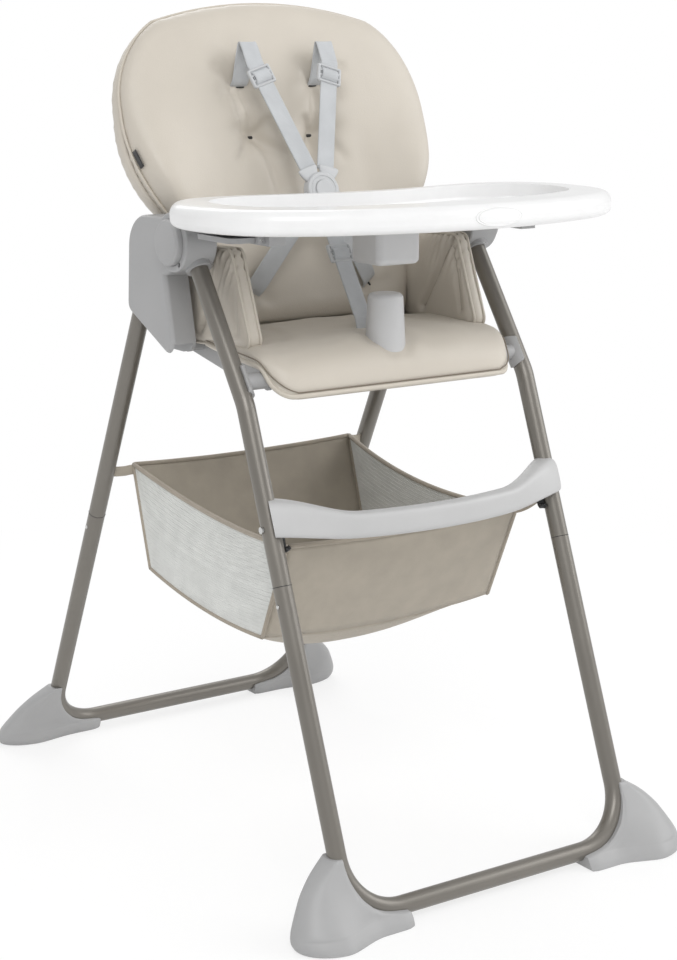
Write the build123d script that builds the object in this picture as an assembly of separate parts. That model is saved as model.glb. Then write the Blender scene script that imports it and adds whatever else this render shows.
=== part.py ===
from build123d import *
import os
from math import atan2, cos, degrees, hypot, radians, sin, tan

# A folding baby high chair in millimetres: +Z is up, the child looks towards -Y, and the origin
# is on the floor under the middle of the chair. Right is +X and left is -X, seen from the front.

# Clearances
push_room = 0.1        # radial room of a tube, pin or screw that is pushed home and stays
running_room = 0.05    # radial room of a hinge pin
soft_room = 0.3        # between a soft piece and what it rests on
moving_room = 0.6      # between pieces that slide or swing past each other

# Frame tubes
tube_diameter = 22.0
tube_wall = 1.5
leg_spacing = 407.0
stance = 761.4             # between the front and rear floor bars
corner_radius = 70.0       # tube bend between leg and floor bar
bend_radius = 60.0         # tube bend of the front leg under the seat
front_seam_height = 370.0
rear_seam_height = 362.0
neck_length = 40.0         # drawn-in end of an upper tube, inside the lower one
pin_diameter = 5.0         # snap pin of a tube joint
pin_drop = 22.0            # snap pin below the seam
pin_dome = 1.2             # how far the snap pin stands out

# Feet
sole_thickness = 6.0       # plastic under the floor bar
foot_length = 132.0        # along the floor bar
foot_width = 80.0
foot_toe = 7.5             # foot middle beyond the bar, away from the chair
foot_out = 12.0            # foot middle beyond the leg, away from the chair
foot_height = 92.0
foot_wall = 4.5
foot_sleeve_end = 80.0     # inner end of the skirt on the floor bar, from the leg
foot_skirt = 22.0          # reach of the skirt beyond the floor bar, at its inner end
foot_wrap = 4.5            # wrap round the tube bend, away from the bend's middle

# Heights above and below the seat corner, where seat and back cushions meet
seat_height = 632.0
seat_corner_ahead = 7.0
bend_drop = 65.5
bend_ahead = 168.4
hub_rise = 110.0
hub_ahead = 46.0
pivot_rise = 93.0
pivot_behind = 37.6

# Hub with the front leg's socket and the fold button
hub_radius = 35.0
hub_inward = 17.5          # hub faces from the leg axis
hub_outward = 24.5
socket_length = 38.0
socket_wall = 4.5
rivet_diameter = 6.0
rivet_reach = 30.0         # rivet from the hub's middle, along the leg
button_radius = 27.0
button_thickness = 13.0
button_travel = 5.0
button_recess = 10.0
button_rim = 4.0           # rounding of the button's edge
spring_wall = 0.8          # thickness of the conical spring washer

# Side housing around the head of the rear leg
fold_angle = 52.0
bell_top_radius = 42.0
bell_hollow_radius = 23.0  # hollow round the pivot
bell_rear_reach = 74.0     # from the pivot along the open leg
bell_front_reach = 116.0   # from the pivot along the folded leg
bell_wall = 3.0
bell_round = 6.0
housing_side_room = 1.5    # beside the leg in the housing
housing_face = 3.5
cover_thickness = 4.0
pivot_pin_diameter = 10.0
head_radius = 15.0
head_neck = 24.0           # from the pivot to the tube's end
spigot_length = 30.0
screw_diameter = 4.0
screw_head_diameter = 8.0
screw_head = 2.5
screw_length = 16.0

# Seat shell
shell_width = 320.0
shell_front = 168.0        # ahead of the middle
shell_drop_rear = 32.0     # underside below the seat corner
shell_flange = 30.0        # rear flange up the back's slope
shell_drop_front = 50.0
shell_wall = 3.0
shell_rim_drop = 18.0      # rim below the seat corner at the rear
shell_rim_fall = 16.0      # further fall of the rim towards the front
mount_size = 34.0
bracket_length = 40.0
bracket_wall = 3.0
bracket_open = 3.0         # saddle's edge inside the leg axis
bracket_pin_diameter = 10.0
stub_diameter = 20.0
stub_flange = 5.0          # flange of the stub beyond its side

# Backrest
recline = 16.5
back_length = 404.0        # along the slope
back_width = 440.0
back_thickness = 32.0
back_foot_width = 292.0
back_shell_inset = 12.0
back_shell_thickness = 12.0
back_tail = 14.0           # backrest shell below the seat corner
bolt_diameter = 6.0
bolt_spacing = 200.0
bolt_up = 8.0

# Seat cushion and wings
cushion_width = 356.0
cushion_front = 190.0      # ahead of the middle
cushion_crown = 7.0
cushion_top_drop = 6.0     # sewn edge of the top below the seat corner
cushion_lip = 66.0         # front lip's underside below the seat corner
wing_thickness = 26.0
wing_outside = 17.0        # outside of the wing beyond the seat shell
wing_front = 132.0         # ahead of the middle at the foot
wing_round = 12.0
wing_tip_front = 88.0
wing_height = 104.0

# Crotch post
post_ahead = 155.0
post_stem_diameter = 18.0
post_foot_drop = 28.0      # wide part's underside below the seat corner
post_base_diameter = 50.0
post_top_diameter = 42.0
post_height = 47.0         # above the seat corner
post_round = 7.0

# Harness
strap_width = 24.0
strap_thickness = 1.6
slot_room = 1.2
shoulder_slot_spacing = 114.0
shoulder_slot_up = 297.0   # along the back's slope
spare_slot_spacing = 95.2
spare_slot_up = 234.7
waist_slot_spacing = 174.0
waist_slot_up = 40.0
loop_rise = 45.0           # shoulder strap's loop above its slot
loop_foot = 6.0            # rear run of the loop ahead of the back
loop_gap = 30.0            # between the two runs of the loop
loop_radius = 11.0
loop_end = 17.0            # front run's end above the slot
loop_inset = 2.0           # front run's end nearer to the middle than the slot
buckle_ahead = 17.0
buckle_rise = 158.0
buckle_diameter = 45.0
buckle_thickness = 14.0
buckle_button_diameter = 24.0
buckle_button_stand = 2.0
buckle_travel = 3.0
shoulder_attach = 36.0     # angles on the buckle's edge, from its top
waist_attach = 115.0
crotch_slot_ahead = 112.0
adjuster_length = 24.0
adjuster_rim = 4.0
adjuster_thickness = 6.0
adjuster_room = 0.6
adjuster_at = 18.0         # from the loop's end
adjuster_travel = 40.0
crotch_adjuster_at = 62.0  # from the buckle's edge
anchor_diameter = 5.0
anchor_length = 36.0

# Tray
tray_half_width = 281.0
tray_rear_ahead = 72.0
tray_front_ahead = 345.0
tray_belly = 26.0          # depth of the hollow at the child's belly
tray_thickness = 28.0
tray_rise_over_hub = 26.0  # tray's underside above the hub's middle
tray_rim_width = 58.0
tray_floor = 8.0
tray_round = 13.0          # rounding of the rim above and below
tray_round_low = 9.0
tray_travel = 85.0
rail_width = 14.0
rail_height = 10.0
rail_ahead = 191.0
rail_drop = 6.0            # rail's top below the tray
bracket_front = 200.0
bracket_wall_tray = 3.0
bracket_wing = 48.0        # how far the bracket's plate reaches out beside the rail
bracket_plate = 5.0
latch_length = 84.0
latch_width = 40.0
latch_thickness = 6.0
latch_pin_diameter = 4.0
latch_angle = 5.0
divider_width = 62.0
divider_depth = 60.0
divider_height = 54.0
divider_ahead = 155.0
divider_round = 9.0

# Footrest
footrest_height = 432.0
footrest_bow = 52.0
footrest_deep = 22.0
footrest_tall = 30.0
footrest_sleeve = 46.0
footrest_wall = 6.0

# Basket
basket_half_width = 168.0
basket_rear_top = (172.0, 431.0)
basket_front_drop = 30.0      # of the front edge below the footrest's middle
basket_front_top = (-200.0, footrest_height - basket_front_drop)
basket_front_foot = (-145.0, 278.0)
basket_rear_foot = (132.0, 300.0)
basket_sag = 62.0
cloth = 3.0
clip_size = 12.0
hook_size = 8.0            # hooks of the front corners

# Worked-out places
tube_radius = tube_diameter / 2
bore_radius = tube_radius - tube_wall
leg_x = leg_spacing / 2
bar_y = stance / 2
bar_z = sole_thickness + tube_radius
bend = (-bend_ahead, seat_height - bend_drop)
hub = (-hub_ahead, seat_height + hub_rise)
pivot = (pivot_behind, seat_height + pivot_rise)
front_bar = (-bar_y, bar_z)
rear_bar = (bar_y, bar_z)
hub_inner = leg_x - hub_inward
hub_outer = leg_x + hub_outward
housing_inner = leg_x - tube_radius - housing_side_room
cavity_outer = leg_x + tube_radius + housing_side_room
housing_outer = cavity_outer + housing_face
cover_inner = housing_inner - cover_thickness
shell_half = shell_width / 2
tray_under = hub[1] + tray_rise_over_hub
seat_corner = (-seat_corner_ahead, seat_height)
lean = radians(recline)
back_plane = Plane(
    origin=(0, seat_corner[0], seat_corner[1]),
    x_dir=(1, 0, 0),
    z_dir=(0, -cos(lean), sin(lean)),
)
buckle_centre = (0, -buckle_ahead, seat_height + buckle_rise)


def toward(start, end):
    """Unit vector between two points given as depth and height."""
    run = hypot(end[0] - start[0], end[1] - start[1])
    return ((end[0] - start[0]) / run, (end[1] - start[1]) / run)


def along(start, direction, distance):
    """Point a distance away in a direction, as depth and height."""
    return (start[0] + direction[0] * distance, start[1] + direction[1] * distance)


def at_height(start, direction, height):
    """Point of a leg's axis at a height."""
    return along(start, direction, (height - start[1]) / direction[1])


def turned(direction, angle):
    """Direction turned about the lateral axis, so that what points down goes forward."""
    turn = radians(-angle)
    return (
        direction[0] * cos(turn) - direction[1] * sin(turn),
        direction[0] * sin(turn) + direction[1] * cos(turn),
    )


front_low_up = toward(front_bar, bend)
front_high_up = toward(bend, hub)
rear_up = toward(rear_bar, pivot)
rear_down = (-rear_up[0], -rear_up[1])
folded_down = turned(rear_down, fold_angle)
front_seam = at_height(front_bar, front_low_up, front_seam_height)
rear_seam = at_height(rear_bar, rear_up, rear_seam_height)
head_end = along(pivot, rear_down, head_neck)

nodes = {}


def pair(name, right):
    """Keep a right-hand piece and its mirror image as two nodes."""
    nodes[name + "_right"] = right
    nodes[name + "_left"] = mirror(right, about=Plane.YZ)


def group(*pieces):
    """Separate solids that share a node."""
    return Compound(children=[solid for piece in pieces for solid in piece.solids()])


def both_sides(*pieces):
    """Right-hand pieces and their mirror images as one group."""
    return group(*pieces, *[mirror(piece, about=Plane.YZ) for piece in pieces])


def block(x0, x1, y0, y1, z0, z1):
    """Box between two corners."""
    return Pos((x0 + x1) / 2, (y0 + y1) / 2, (z0 + z1) / 2) * Box(x1 - x0, y1 - y0, z1 - z0)


def side_plate(profile, x0, x1):
    """Profile drawn in depth and height, spread between two lateral places."""
    return extrude(Plane.YZ.offset(x0) * profile, amount=x1 - x0)


def rod(start, end, radius):
    """Round bar between two points."""
    axis = Vector(*end) - Vector(*start)
    return extrude(Plane(origin=start, z_dir=axis) * Circle(radius), amount=axis.length)


def side_rod(point, x0, x1, radius):
    """Round bar along the lateral axis at a depth and height."""
    return rod((x0, *point), (x1, *point), radius)


def leg_rod(start, direction, reach0, reach1, radius):
    """Round bar on the axis of the right-hand leg."""
    first = along(start, direction, reach0)
    last = along(start, direction, reach1)
    return rod((leg_x, *first), (leg_x, *last), radius)


def tube_along(path, outer, inner=0.0):
    """Round section swept along a path, hollow where an inner radius is given."""
    section = Circle(outer) - Circle(inner) if inner else Circle(outer)
    return sweep(Plane(origin=path @ 0, z_dir=path % 0) * section, path=path)


# Frame

footrest_spot = at_height(front_bar, front_low_up, footrest_height)


bend_turn = atan2(front_high_up[0], front_high_up[1]) - atan2(front_low_up[0], front_low_up[1])
bracket_start = bend_radius * tan(bend_turn / 2) + 1.0
stub_spot = along(bend, front_high_up, bracket_start + bracket_length / 2)


def footrest_screw(room=0.0):
    """Screw through the front leg into the footrest's end, or its room."""
    outer = leg_x + tube_radius
    shank = side_rod(footrest_spot, leg_x - tube_radius - 6.0 - room * 5, outer, screw_diameter / 2 + room)
    head = side_rod(footrest_spot, outer, outer + screw_head, screw_head_diameter / 2)
    return shank if room else shank + head


def u_path(bar, up, seam, out=0.0):
    """Path of a lower frame, or beside it: down one leg, along the floor and up the other."""
    rise = hypot(seam[0] - bar[0], seam[1] - bar[1])
    place = Plane(origin=(0, *bar), x_dir=(1, 0, 0), z_dir=Vector(1, 0, 0).cross(Vector(0, *up)))
    side = leg_x + out
    corners = [(-side, rise), (-side, -out), (side, -out), (side, rise)]
    return place * FilletPolyline(*corners, radius=corner_radius + out)


def snap_pin(seam, up):
    """Spring pin that shows on the outer side of a tube joint."""
    spot = along(seam, up, -pin_drop)
    shank = side_rod(spot, leg_x + bore_radius - tube_wall, leg_x + tube_radius, pin_diameter / 2)
    dome = side_rod(spot, leg_x + tube_radius, leg_x + tube_radius + pin_dome, pin_diameter / 2)
    return shank + fillet(dome.edges().group_by(Axis.X)[-1], pin_dome * 0.7)


def pin_hole(seam, up):
    """Room for a snap pin in both tubes."""
    spot = along(seam, up, -pin_drop)
    return side_rod(spot, leg_x, leg_x + tube_diameter, pin_diameter / 2 + push_room)


def lower_frame(bar, up, seam):
    """One bent tube with the floor bar."""
    tube = tube_along(u_path(bar, up, seam), tube_radius, bore_radius)
    hole = pin_hole(seam, up)
    return tube - hole - mirror(hole, about=Plane.YZ)


def tube_neck(seam, up):
    """Drawn-in lower end of an upper tube."""
    outer = bore_radius - push_room
    inner = outer - tube_wall
    collar = leg_rod(seam, up, 0, tube_wall * 4, tube_radius)
    neck = leg_rod(seam, up, -neck_length, tube_wall, outer)
    return collar + neck - leg_rod(seam, up, -neck_length - 1, tube_wall * 5, inner)


def bracket_pin(room=0.0):
    """Pin of the seat bracket through the inner wall of the front leg, or its hole."""
    start = leg_x - tube_diameter * (0.6 + room)
    return side_rod(stub_spot, start, leg_x - bore_radius + 2.0 + room, bracket_pin_diameter / 2 + room)


def front_upper_tube():
    """Upper half of a front leg, bent under the seat."""
    points = [(leg_x, *front_seam), (leg_x, *bend), (leg_x, *hub)]
    tube = tube_along(FilletPolyline(*points, radius=bend_radius), tube_radius, bore_radius)
    rivet = side_rod(along(hub, front_high_up, -rivet_reach), 0, leg_x * 2, rivet_diameter / 2 + push_room)
    tube = tube + tube_neck(front_seam, front_low_up) - pin_hole(front_seam, front_low_up)
    return tube - rivet - footrest_screw(push_room) - bracket_pin(push_room)


def rear_upper_tube():
    """Upper half of a rear leg."""
    run = hypot(head_end[0] - rear_seam[0], head_end[1] - rear_seam[1])
    tube = leg_rod(rear_seam, rear_up, 0, run, tube_radius)
    tube -= leg_rod(rear_seam, rear_up, -1, run + 1, bore_radius)
    return tube + tube_neck(rear_seam, rear_up) - pin_hole(rear_seam, rear_up)


def foot(bar, up, seam):
    """Flared plastic foot on the outer corner of a lower frame."""
    outward = 1 if bar[0] > 0 else -1
    top = at_height(bar, up, foot_height)
    base = (leg_x + foot_out, bar[0] + outward * foot_toe)
    leg_ring = tube_radius + foot_wall

    def level(height, share):
        x = leg_x + (base[0] - leg_x) * share
        y = top[0] + (base[1] - top[0]) * share
        rx = leg_ring + (foot_length / 2 - leg_ring) * share
        ry = leg_ring + (foot_width / 2 - leg_ring) * share
        return Pos(x, y, height) * Ellipse(rx, ry)

    shares = [(0, 1.0), (sole_thickness, 1.0), (foot_height * 0.38, 0.5)]
    shares += [(foot_height * 0.7, 0.14), (foot_height, 0.0)]
    boot = loft([level(height, share) for height, share in shares])
    wrap = tube_along(u_path(bar, up, seam, foot_wrap), tube_radius + foot_wrap / 2)
    ends = sorted((bar[0], bar[0] * 0.8))
    wrap = wrap & block(leg_x - foot_sleeve_end, leg_x + foot_length, *ends, 0, foot_height)

    def skirt_section(place, reach):
        inner = bar[0] - outward * (tube_radius + foot_wrap / 2)
        corners = [
            (inner, 0),
            (bar[0] + outward * reach, 0),
            (bar[0] + outward * reach, sole_thickness),
            (bar[0] + outward * tube_radius * 1.2, bar_z + tube_radius * 0.8),
            (bar[0], bar_z + tube_radius + foot_wrap / 2),
            (inner, bar_z),
        ]
        return Plane.YZ.offset(place) * make_face(Polyline(*corners, close=True))

    skirt = loft(
        [skirt_section(leg_x - foot_sleeve_end, foot_skirt), skirt_section(leg_x, foot_skirt * 1.6)], ruled=True
    )
    room = tube_along(u_path(bar, up, seam), tube_radius + push_room)
    return boot + skirt + wrap - room


nodes["front_lower_frame"] = lower_frame(front_bar, front_low_up, front_seam)
nodes["rear_lower_frame"] = lower_frame(rear_bar, rear_up, rear_seam)
nodes["front_joint_pins"] = both_sides(snap_pin(front_seam, front_low_up))
nodes["rear_joint_pins"] = both_sides(snap_pin(rear_seam, rear_up))
nodes["front_upper_tubes"] = both_sides(front_upper_tube())
nodes["rear_upper_tubes"] = both_sides(rear_upper_tube())
pair("front_foot", foot(front_bar, front_low_up, front_seam))
pair("rear_foot", foot(rear_bar, rear_up, rear_seam))


# Hub, side housing and rear pivot

def bell_outline(shrink):
    """Rounded triangle that holds the rear leg from open to folded, less a wall."""
    swing = tube_radius + moving_room + bell_wall - shrink
    corners = (
        Pos(*pivot) * Circle(bell_hollow_radius if shrink else bell_top_radius)
        + Pos(*along(pivot, rear_down, bell_rear_reach)) * Circle(swing)
        + Pos(*along(pivot, folded_down, bell_front_reach)) * Circle(swing)
    )
    return make_hull(corners.edges())


def bell_mouth():
    """Open underside of the housing, where the leg swings."""
    swing = tube_radius + moving_room
    spots = [
        along(pivot, rear_down, bell_rear_reach),
        along(pivot, rear_down, bell_rear_reach * 2),
        along(pivot, folded_down, bell_front_reach),
        along(pivot, folded_down, bell_front_reach * 2),
    ]
    return make_hull([edge for spot in spots for edge in (Pos(*spot) * Circle(swing)).edges()])


def housing_outline():
    """Bell with the arm that reaches the hub."""
    arm = Pos(*pivot) * Circle(bell_top_radius) + Pos(*hub) * Circle(hub_radius * 0.8)
    return bell_outline(0) + make_hull(arm.edges()) - Pos(*hub) * Circle(hub_radius + push_room)


screw_spots = [along(pivot, toward(pivot, hub), reach) for reach in (30.0, 43.0)]
screw_spots = [(spot[0], spot[1] + rise) for spot, rise in zip(screw_spots, (-10.0, 10.0))]


def housing_screw(spot, room=0.0):
    """Screw from the inner cover into the housing, or the room for one."""
    shank = side_rod(spot, cover_inner, cover_inner + screw_length + room * 5, screw_diameter / 2 + room)
    head = side_rod(spot, cover_inner - screw_head, cover_inner, screw_head_diameter / 2)
    return shank if room else shank + head


def side_housing():
    """Outer shell of the housing, open below and on its inner side."""
    shell = side_plate(housing_outline(), housing_inner, housing_outer)
    shell = fillet(shell.edges().group_by(Axis.X)[-1], bell_round)
    cavity = bell_outline(bell_wall) + bell_mouth()
    shell -= side_plate(cavity, housing_inner, cavity_outer)
    shell -= pivot_pin(running_room)
    for spot in screw_spots:
        shell -= housing_screw(spot, push_room)
    return shell


def inner_cover():
    """Plate that closes the housing beside the seat."""
    cover = side_plate(housing_outline(), cover_inner, housing_inner) - pivot_pin(running_room)
    for spot in screw_spots:
        cover -= housing_screw(spot, push_room)
    return cover


def pivot_pin(room=0.0):
    """Hinge pin of the rear leg, or its bore."""
    end = cavity_outer + housing_face / 2 + room
    return side_rod(pivot, cover_inner, end, pivot_pin_diameter / 2 + room)


def rear_leg_head():
    """Plastic head in the top of a rear leg, with the pivot's bore."""
    width = housing_side_room / 2
    disc = side_rod(pivot, housing_inner + width, cavity_outer - width, head_radius)
    neck = leg_rod(pivot, rear_down, 0, head_neck, tube_radius)
    spigot = leg_rod(pivot, rear_down, 0, head_neck + spigot_length, bore_radius - push_room)
    return disc + neck + spigot - pivot_pin(running_room)


def leg_socket():
    """Hub that takes the top of a front leg and carries the fold button."""
    drum = side_rod(hub, hub_inner, hub_outer, hub_radius)
    drum = fillet(drum.edges(), 2.5)
    sleeve = leg_rod(hub, front_high_up, -socket_length, 0, tube_radius + socket_wall)
    recess = side_rod(hub, hub_outer - button_recess, hub_outer + 1, button_radius + moving_room)
    bore = leg_rod(hub, front_high_up, -socket_length - 1, push_room, tube_radius + push_room)
    rivet = side_rod(along(hub, front_high_up, -rivet_reach), 0, leg_x * 2, rivet_diameter / 2 + push_room)
    return drum + sleeve - recess - bore - rivet


def leg_rivet():
    """Rivet through the socket and the front leg."""
    spot = along(hub, front_high_up, -rivet_reach)
    reach = tube_radius + socket_wall
    head = rivet_diameter / 2 + 1.5
    shank = side_rod(spot, leg_x - reach, leg_x + reach, rivet_diameter / 2)
    cap = side_rod(spot, hub_inner - 2.0, hub_inner, head)
    return shank + side_rod(spot, hub_inner, leg_x, rivet_diameter / 2) + cap


def fold_button():
    """Round button on the outer side of the hub."""
    back = hub_outer - button_recess + button_travel + spring_wall
    button = side_rod(hub, back, back + button_thickness, button_radius)
    return fillet(button.edges().group_by(Axis.X)[-1], button_rim)


def button_spring():
    """Conical spring washer behind the fold button."""
    low = hub_outer - button_recess
    high = low + button_travel + spring_wall
    wide = button_radius - 2.0
    narrow = button_radius / 2
    profile = Polyline(
        (low, wide), (low + spring_wall, wide), (high, narrow), (high - spring_wall, narrow), close=True
    )
    ring = revolve(Plane.XY * make_face(profile), Axis.X)
    return Pos(0, *hub) * ring


pair("leg_socket", leg_socket())
pair("side_housing", side_housing())
pair("housing_cover", inner_cover())
nodes["pivot_pins"] = both_sides(pivot_pin())
nodes["rear_leg_heads"] = both_sides(rear_leg_head())
pair("fold_button", fold_button())
nodes["button_springs"] = both_sides(button_spring())
nodes["leg_rivets"] = both_sides(leg_rivet())
nodes["housing_screws"] = both_sides(*[housing_screw(spot) for spot in screw_spots])


# Seat and backrest shells

back_rear = back_thickness + soft_room
shell_back = back_rear + back_shell_thickness
flange_face = shell_back + push_room


def back_spot(up, forward):
    """Depth and height of a point given up the back's slope and forward of its front."""
    return (
        seat_corner[0] + up * sin(lean) - forward * cos(lean),
        seat_corner[1] + up * cos(lean) + forward * sin(lean),
    )


def local(point):
    """Place in the backrest's own frame: across, up the slope and forward."""
    depth = point[1] - seat_corner[0]
    rise = point[2] - seat_corner[1]
    return (point[0], depth * sin(lean) + rise * cos(lean), rise * sin(lean) - depth * cos(lean))


def from_back(across, up, forward):
    """Point in the chair's frame from a place in the backrest's frame."""
    return (across, *back_spot(up, forward))


pan_floor = seat_height - shell_drop_front
rim_rear = seat_height - shell_rim_drop
rim_front = rim_rear - shell_rim_fall
back_up = (sin(lean), cos(lean))


def seat_profile(inset):
    """Side view of the seat shell, less a wall."""
    face = flange_face + shell_wall - inset
    rear_low = at_height(back_spot(0, -face), back_up, seat_height - shell_drop_rear + inset)
    lift = 2 * shell_wall if inset else 0.0
    top = shell_flange + lift
    corners = [
        rear_low,
        (-shell_front * 0.4, pan_floor + inset),
        (-shell_front + inset, pan_floor + inset),
        (-shell_front + inset, rim_front + lift),
        (back_spot(0, -back_rear)[0], rim_rear + lift),
        back_spot(top, -flange_face),
    ]
    if not inset:
        corners.append(back_spot(top, -face))
    return make_face(Polyline(*corners, close=True))


def crotch_slot():
    """Cutter for the crotch strap's slot through cushion and seat shell."""
    half = strap_width / 2 + slot_room
    deep = strap_thickness / 2 + slot_room
    middle = -crotch_slot_ahead
    return block(-half, half, middle - deep, middle + deep, pan_floor - 20, seat_height + 40)


def seat_shell():
    """Moulded pan under the seat cushion, with a flange up the backrest shell."""
    body = side_plate(seat_profile(0), -shell_half, shell_half)
    body -= side_plate(seat_profile(shell_wall), -shell_half + shell_wall, shell_half - shell_wall)
    return cut_both(body - crotch_slot(), [shell_bolt(push_room)])


def seat_mount():
    """Block between the seat shell's side and the housing's inner cover."""
    middle = (back_spot(0, -back_rear)[0] - mount_size / 4, rim_rear + mount_size / 5)
    half = mount_size / 2
    body = block(shell_half, cover_inner, middle[0] - half, middle[0] + half, middle[1] - half, middle[1] + half)
    return fillet(body.edges().filter_by(Axis.X), mount_size / 8)


def seat_bracket():
    """Saddle on the inner side of the front leg with a stub that carries the seat shell."""
    end = bracket_start + bracket_length
    saddle = leg_rod(bend, front_high_up, bracket_start, end, tube_radius + bracket_wall)
    saddle &= side_rod(stub_spot, leg_x - tube_diameter, leg_x - bracket_open, bracket_length / 2)
    stub = side_rod(stub_spot, shell_half, leg_x, stub_diameter / 2)
    ring = side_rod(stub_spot, shell_half + 2.0, shell_half + 5.0, stub_diameter / 2 + stub_flange / 2)
    body = saddle + stub + ring
    body -= leg_rod(bend, front_high_up, 0, bracket_start * 2 + bracket_length, tube_radius + push_room)
    return body + bracket_pin()


def strap_slot(spacing, up, turn=0.0):
    """Cutter for a strap slot through back cushion and shell."""
    cut = RectangleRounded(strap_width + 2 * slot_room, strap_thickness + 2 * slot_room, strap_thickness / 2)
    place = back_plane * Pos(spacing / 2, up, -shell_back - 20) * Rot(0, 0, turn)
    return extrude(place * cut, amount=shell_back + 60)


buckle_local = local(buckle_centre)


def buckle_edge(angle, reach=buckle_diameter / 2 + soft_room):
    """Place about the buckle's middle in the backrest's frame, at an angle from its top."""
    turn = radians(angle)
    return (reach * sin(turn), buckle_local[1] + reach * cos(turn), buckle_local[2])


waist_start = (waist_slot_spacing / 2, waist_slot_up)
waist_end = buckle_edge(waist_attach)
waist_turn = degrees(atan2(waist_end[1] - waist_start[1], waist_end[0] - waist_start[0])) - 90


def back_slots():
    """All slots of the right half of the back."""
    return [
        strap_slot(shoulder_slot_spacing, shoulder_slot_up),
        strap_slot(spare_slot_spacing, spare_slot_up),
        strap_slot(waist_slot_spacing, waist_slot_up, waist_turn),
    ]


def cut_both(shape, cutters):
    """Cut the same holes into both halves of a piece."""
    for cutter in cutters:
        shape = shape - cutter - mirror(cutter, about=Plane.YZ)
    return shape


waist_up = (pivot[1] + bell_top_radius + 4.0 - seat_height) / cos(lean)
waist_half = cover_inner - 4.0


def back_outline(inset):
    """Front view of the backrest: narrow between the housings, wide and round at the top."""
    half = back_width / 2 - inset
    foot = (back_foot_width / 2 - inset, inset)
    waist = (waist_half - inset, waist_up)
    top = back_length - inset
    corner = (half - 62.0, top - 23.0)
    shoulder = (half, top - 134.0)
    middle = ((waist[0] + half) / 2 + 10.0, (waist_up + shoulder[1]) / 2 - 16.0)
    right = [
        Line(foot, waist),
        ThreePointArc(waist, middle, shoulder),
        ThreePointArc(shoulder, (half - 15.0, top - 73.0), corner),
    ]
    head = ThreePointArc(corner, (0, top), (-corner[0], corner[1]))
    left = [mirror(edge, about=Plane.YZ) for edge in right]
    return make_face([Line((-foot[0], inset), foot), *right, head, *left])


def back_cushion():
    """Padded back: drawn in at the rear, crowned at the front, with its strap slots."""
    levels = [(1.0, 9.0), (0.55, 0.0), (0.3, 1.0), (0.1, 12.0), (0.0, 34.0)]
    body = loft(
        [back_plane * Pos(0, 0, -back_thickness * depth) * back_outline(inset) for depth, inset in levels],
        ruled=True,
    )
    return cut_both(body, back_slots())


def backrest_shell():
    """Moulded board behind the back cushion."""
    foot_half = back_foot_width / 2 - back_shell_inset
    rise = back_tail + back_shell_inset + 2.0
    tail = Pos(0, rise / 2 - back_tail) * Rectangle(foot_half * 2, rise)
    face = back_outline(back_shell_inset) + tail
    board = extrude(back_plane * Pos(0, 0, -shell_back) * face, amount=back_shell_thickness)
    return cut_both(board, back_slots() + [shell_bolt(push_room)])


def shell_bolt(room=0.0):
    """Bolt that holds the backrest shell to the seat shell's flange, or its room."""
    rear = back_plane * Pos(bolt_spacing / 2, bolt_up, -flange_face - shell_wall)
    shank = extrude(rear * Circle(bolt_diameter / 2 + room), amount=back_shell_thickness + shell_wall)
    head = extrude(rear * Circle(bolt_diameter), amount=-bolt_diameter / 2)
    return shank if room else shank + head


nodes["seat_shell"] = seat_shell()
nodes["backrest_shell"] = backrest_shell()
nodes["shell_bolts"] = both_sides(shell_bolt())
nodes["seat_mounts"] = both_sides(seat_mount())
nodes["seat_brackets"] = both_sides(seat_bracket())


# Cushions and crotch post

cushion_edge = seat_height - cushion_top_drop
cushion_half = cushion_width / 2
wing_outer = shell_half + wing_outside
wing_inner = wing_outer - wing_thickness
edge_fold = 8.0


def cushion_section(depth, half, low, high, crown):
    """Cross-section of the seat cushion: flat below, rolled sides and a crowned top."""
    middle = (low + high) / 2
    right = ThreePointArc((half - edge_fold, low), (half, middle), (half - edge_fold, high))
    top = ThreePointArc((half - edge_fold, high), (0, high + crown), (edge_fold - half, high))
    left = ThreePointArc((edge_fold - half, high), (-half, middle), (edge_fold - half, low))
    outline = make_face([Line((edge_fold - half, low), (half - edge_fold, low)), right, top, left])
    return Plane(origin=(0, depth, 0), x_dir=(1, 0, 0), z_dir=(0, -1, 0)) * outline


def crotch_post(room=0.0):
    """Tapered post between the child's legs, or its room in the cushion."""
    foot = seat_height - post_foot_drop
    stem_foot = (0, -post_ahead, pan_floor + shell_wall)
    stem = rod(stem_foot, (0, -post_ahead, foot + 1), post_stem_diameter / 2 + room)
    base = Pos(0, -post_ahead, foot - room) * Circle(post_base_diameter / 2 + room)
    top = Pos(0, -post_ahead, seat_height + post_height + room) * Circle(post_top_diameter / 2 + room)
    cone = loft([base, top])
    if not room:
        cone = fillet(cone.edges().group_by(Axis.Z)[-1], post_round)
    return stem + cone


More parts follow.
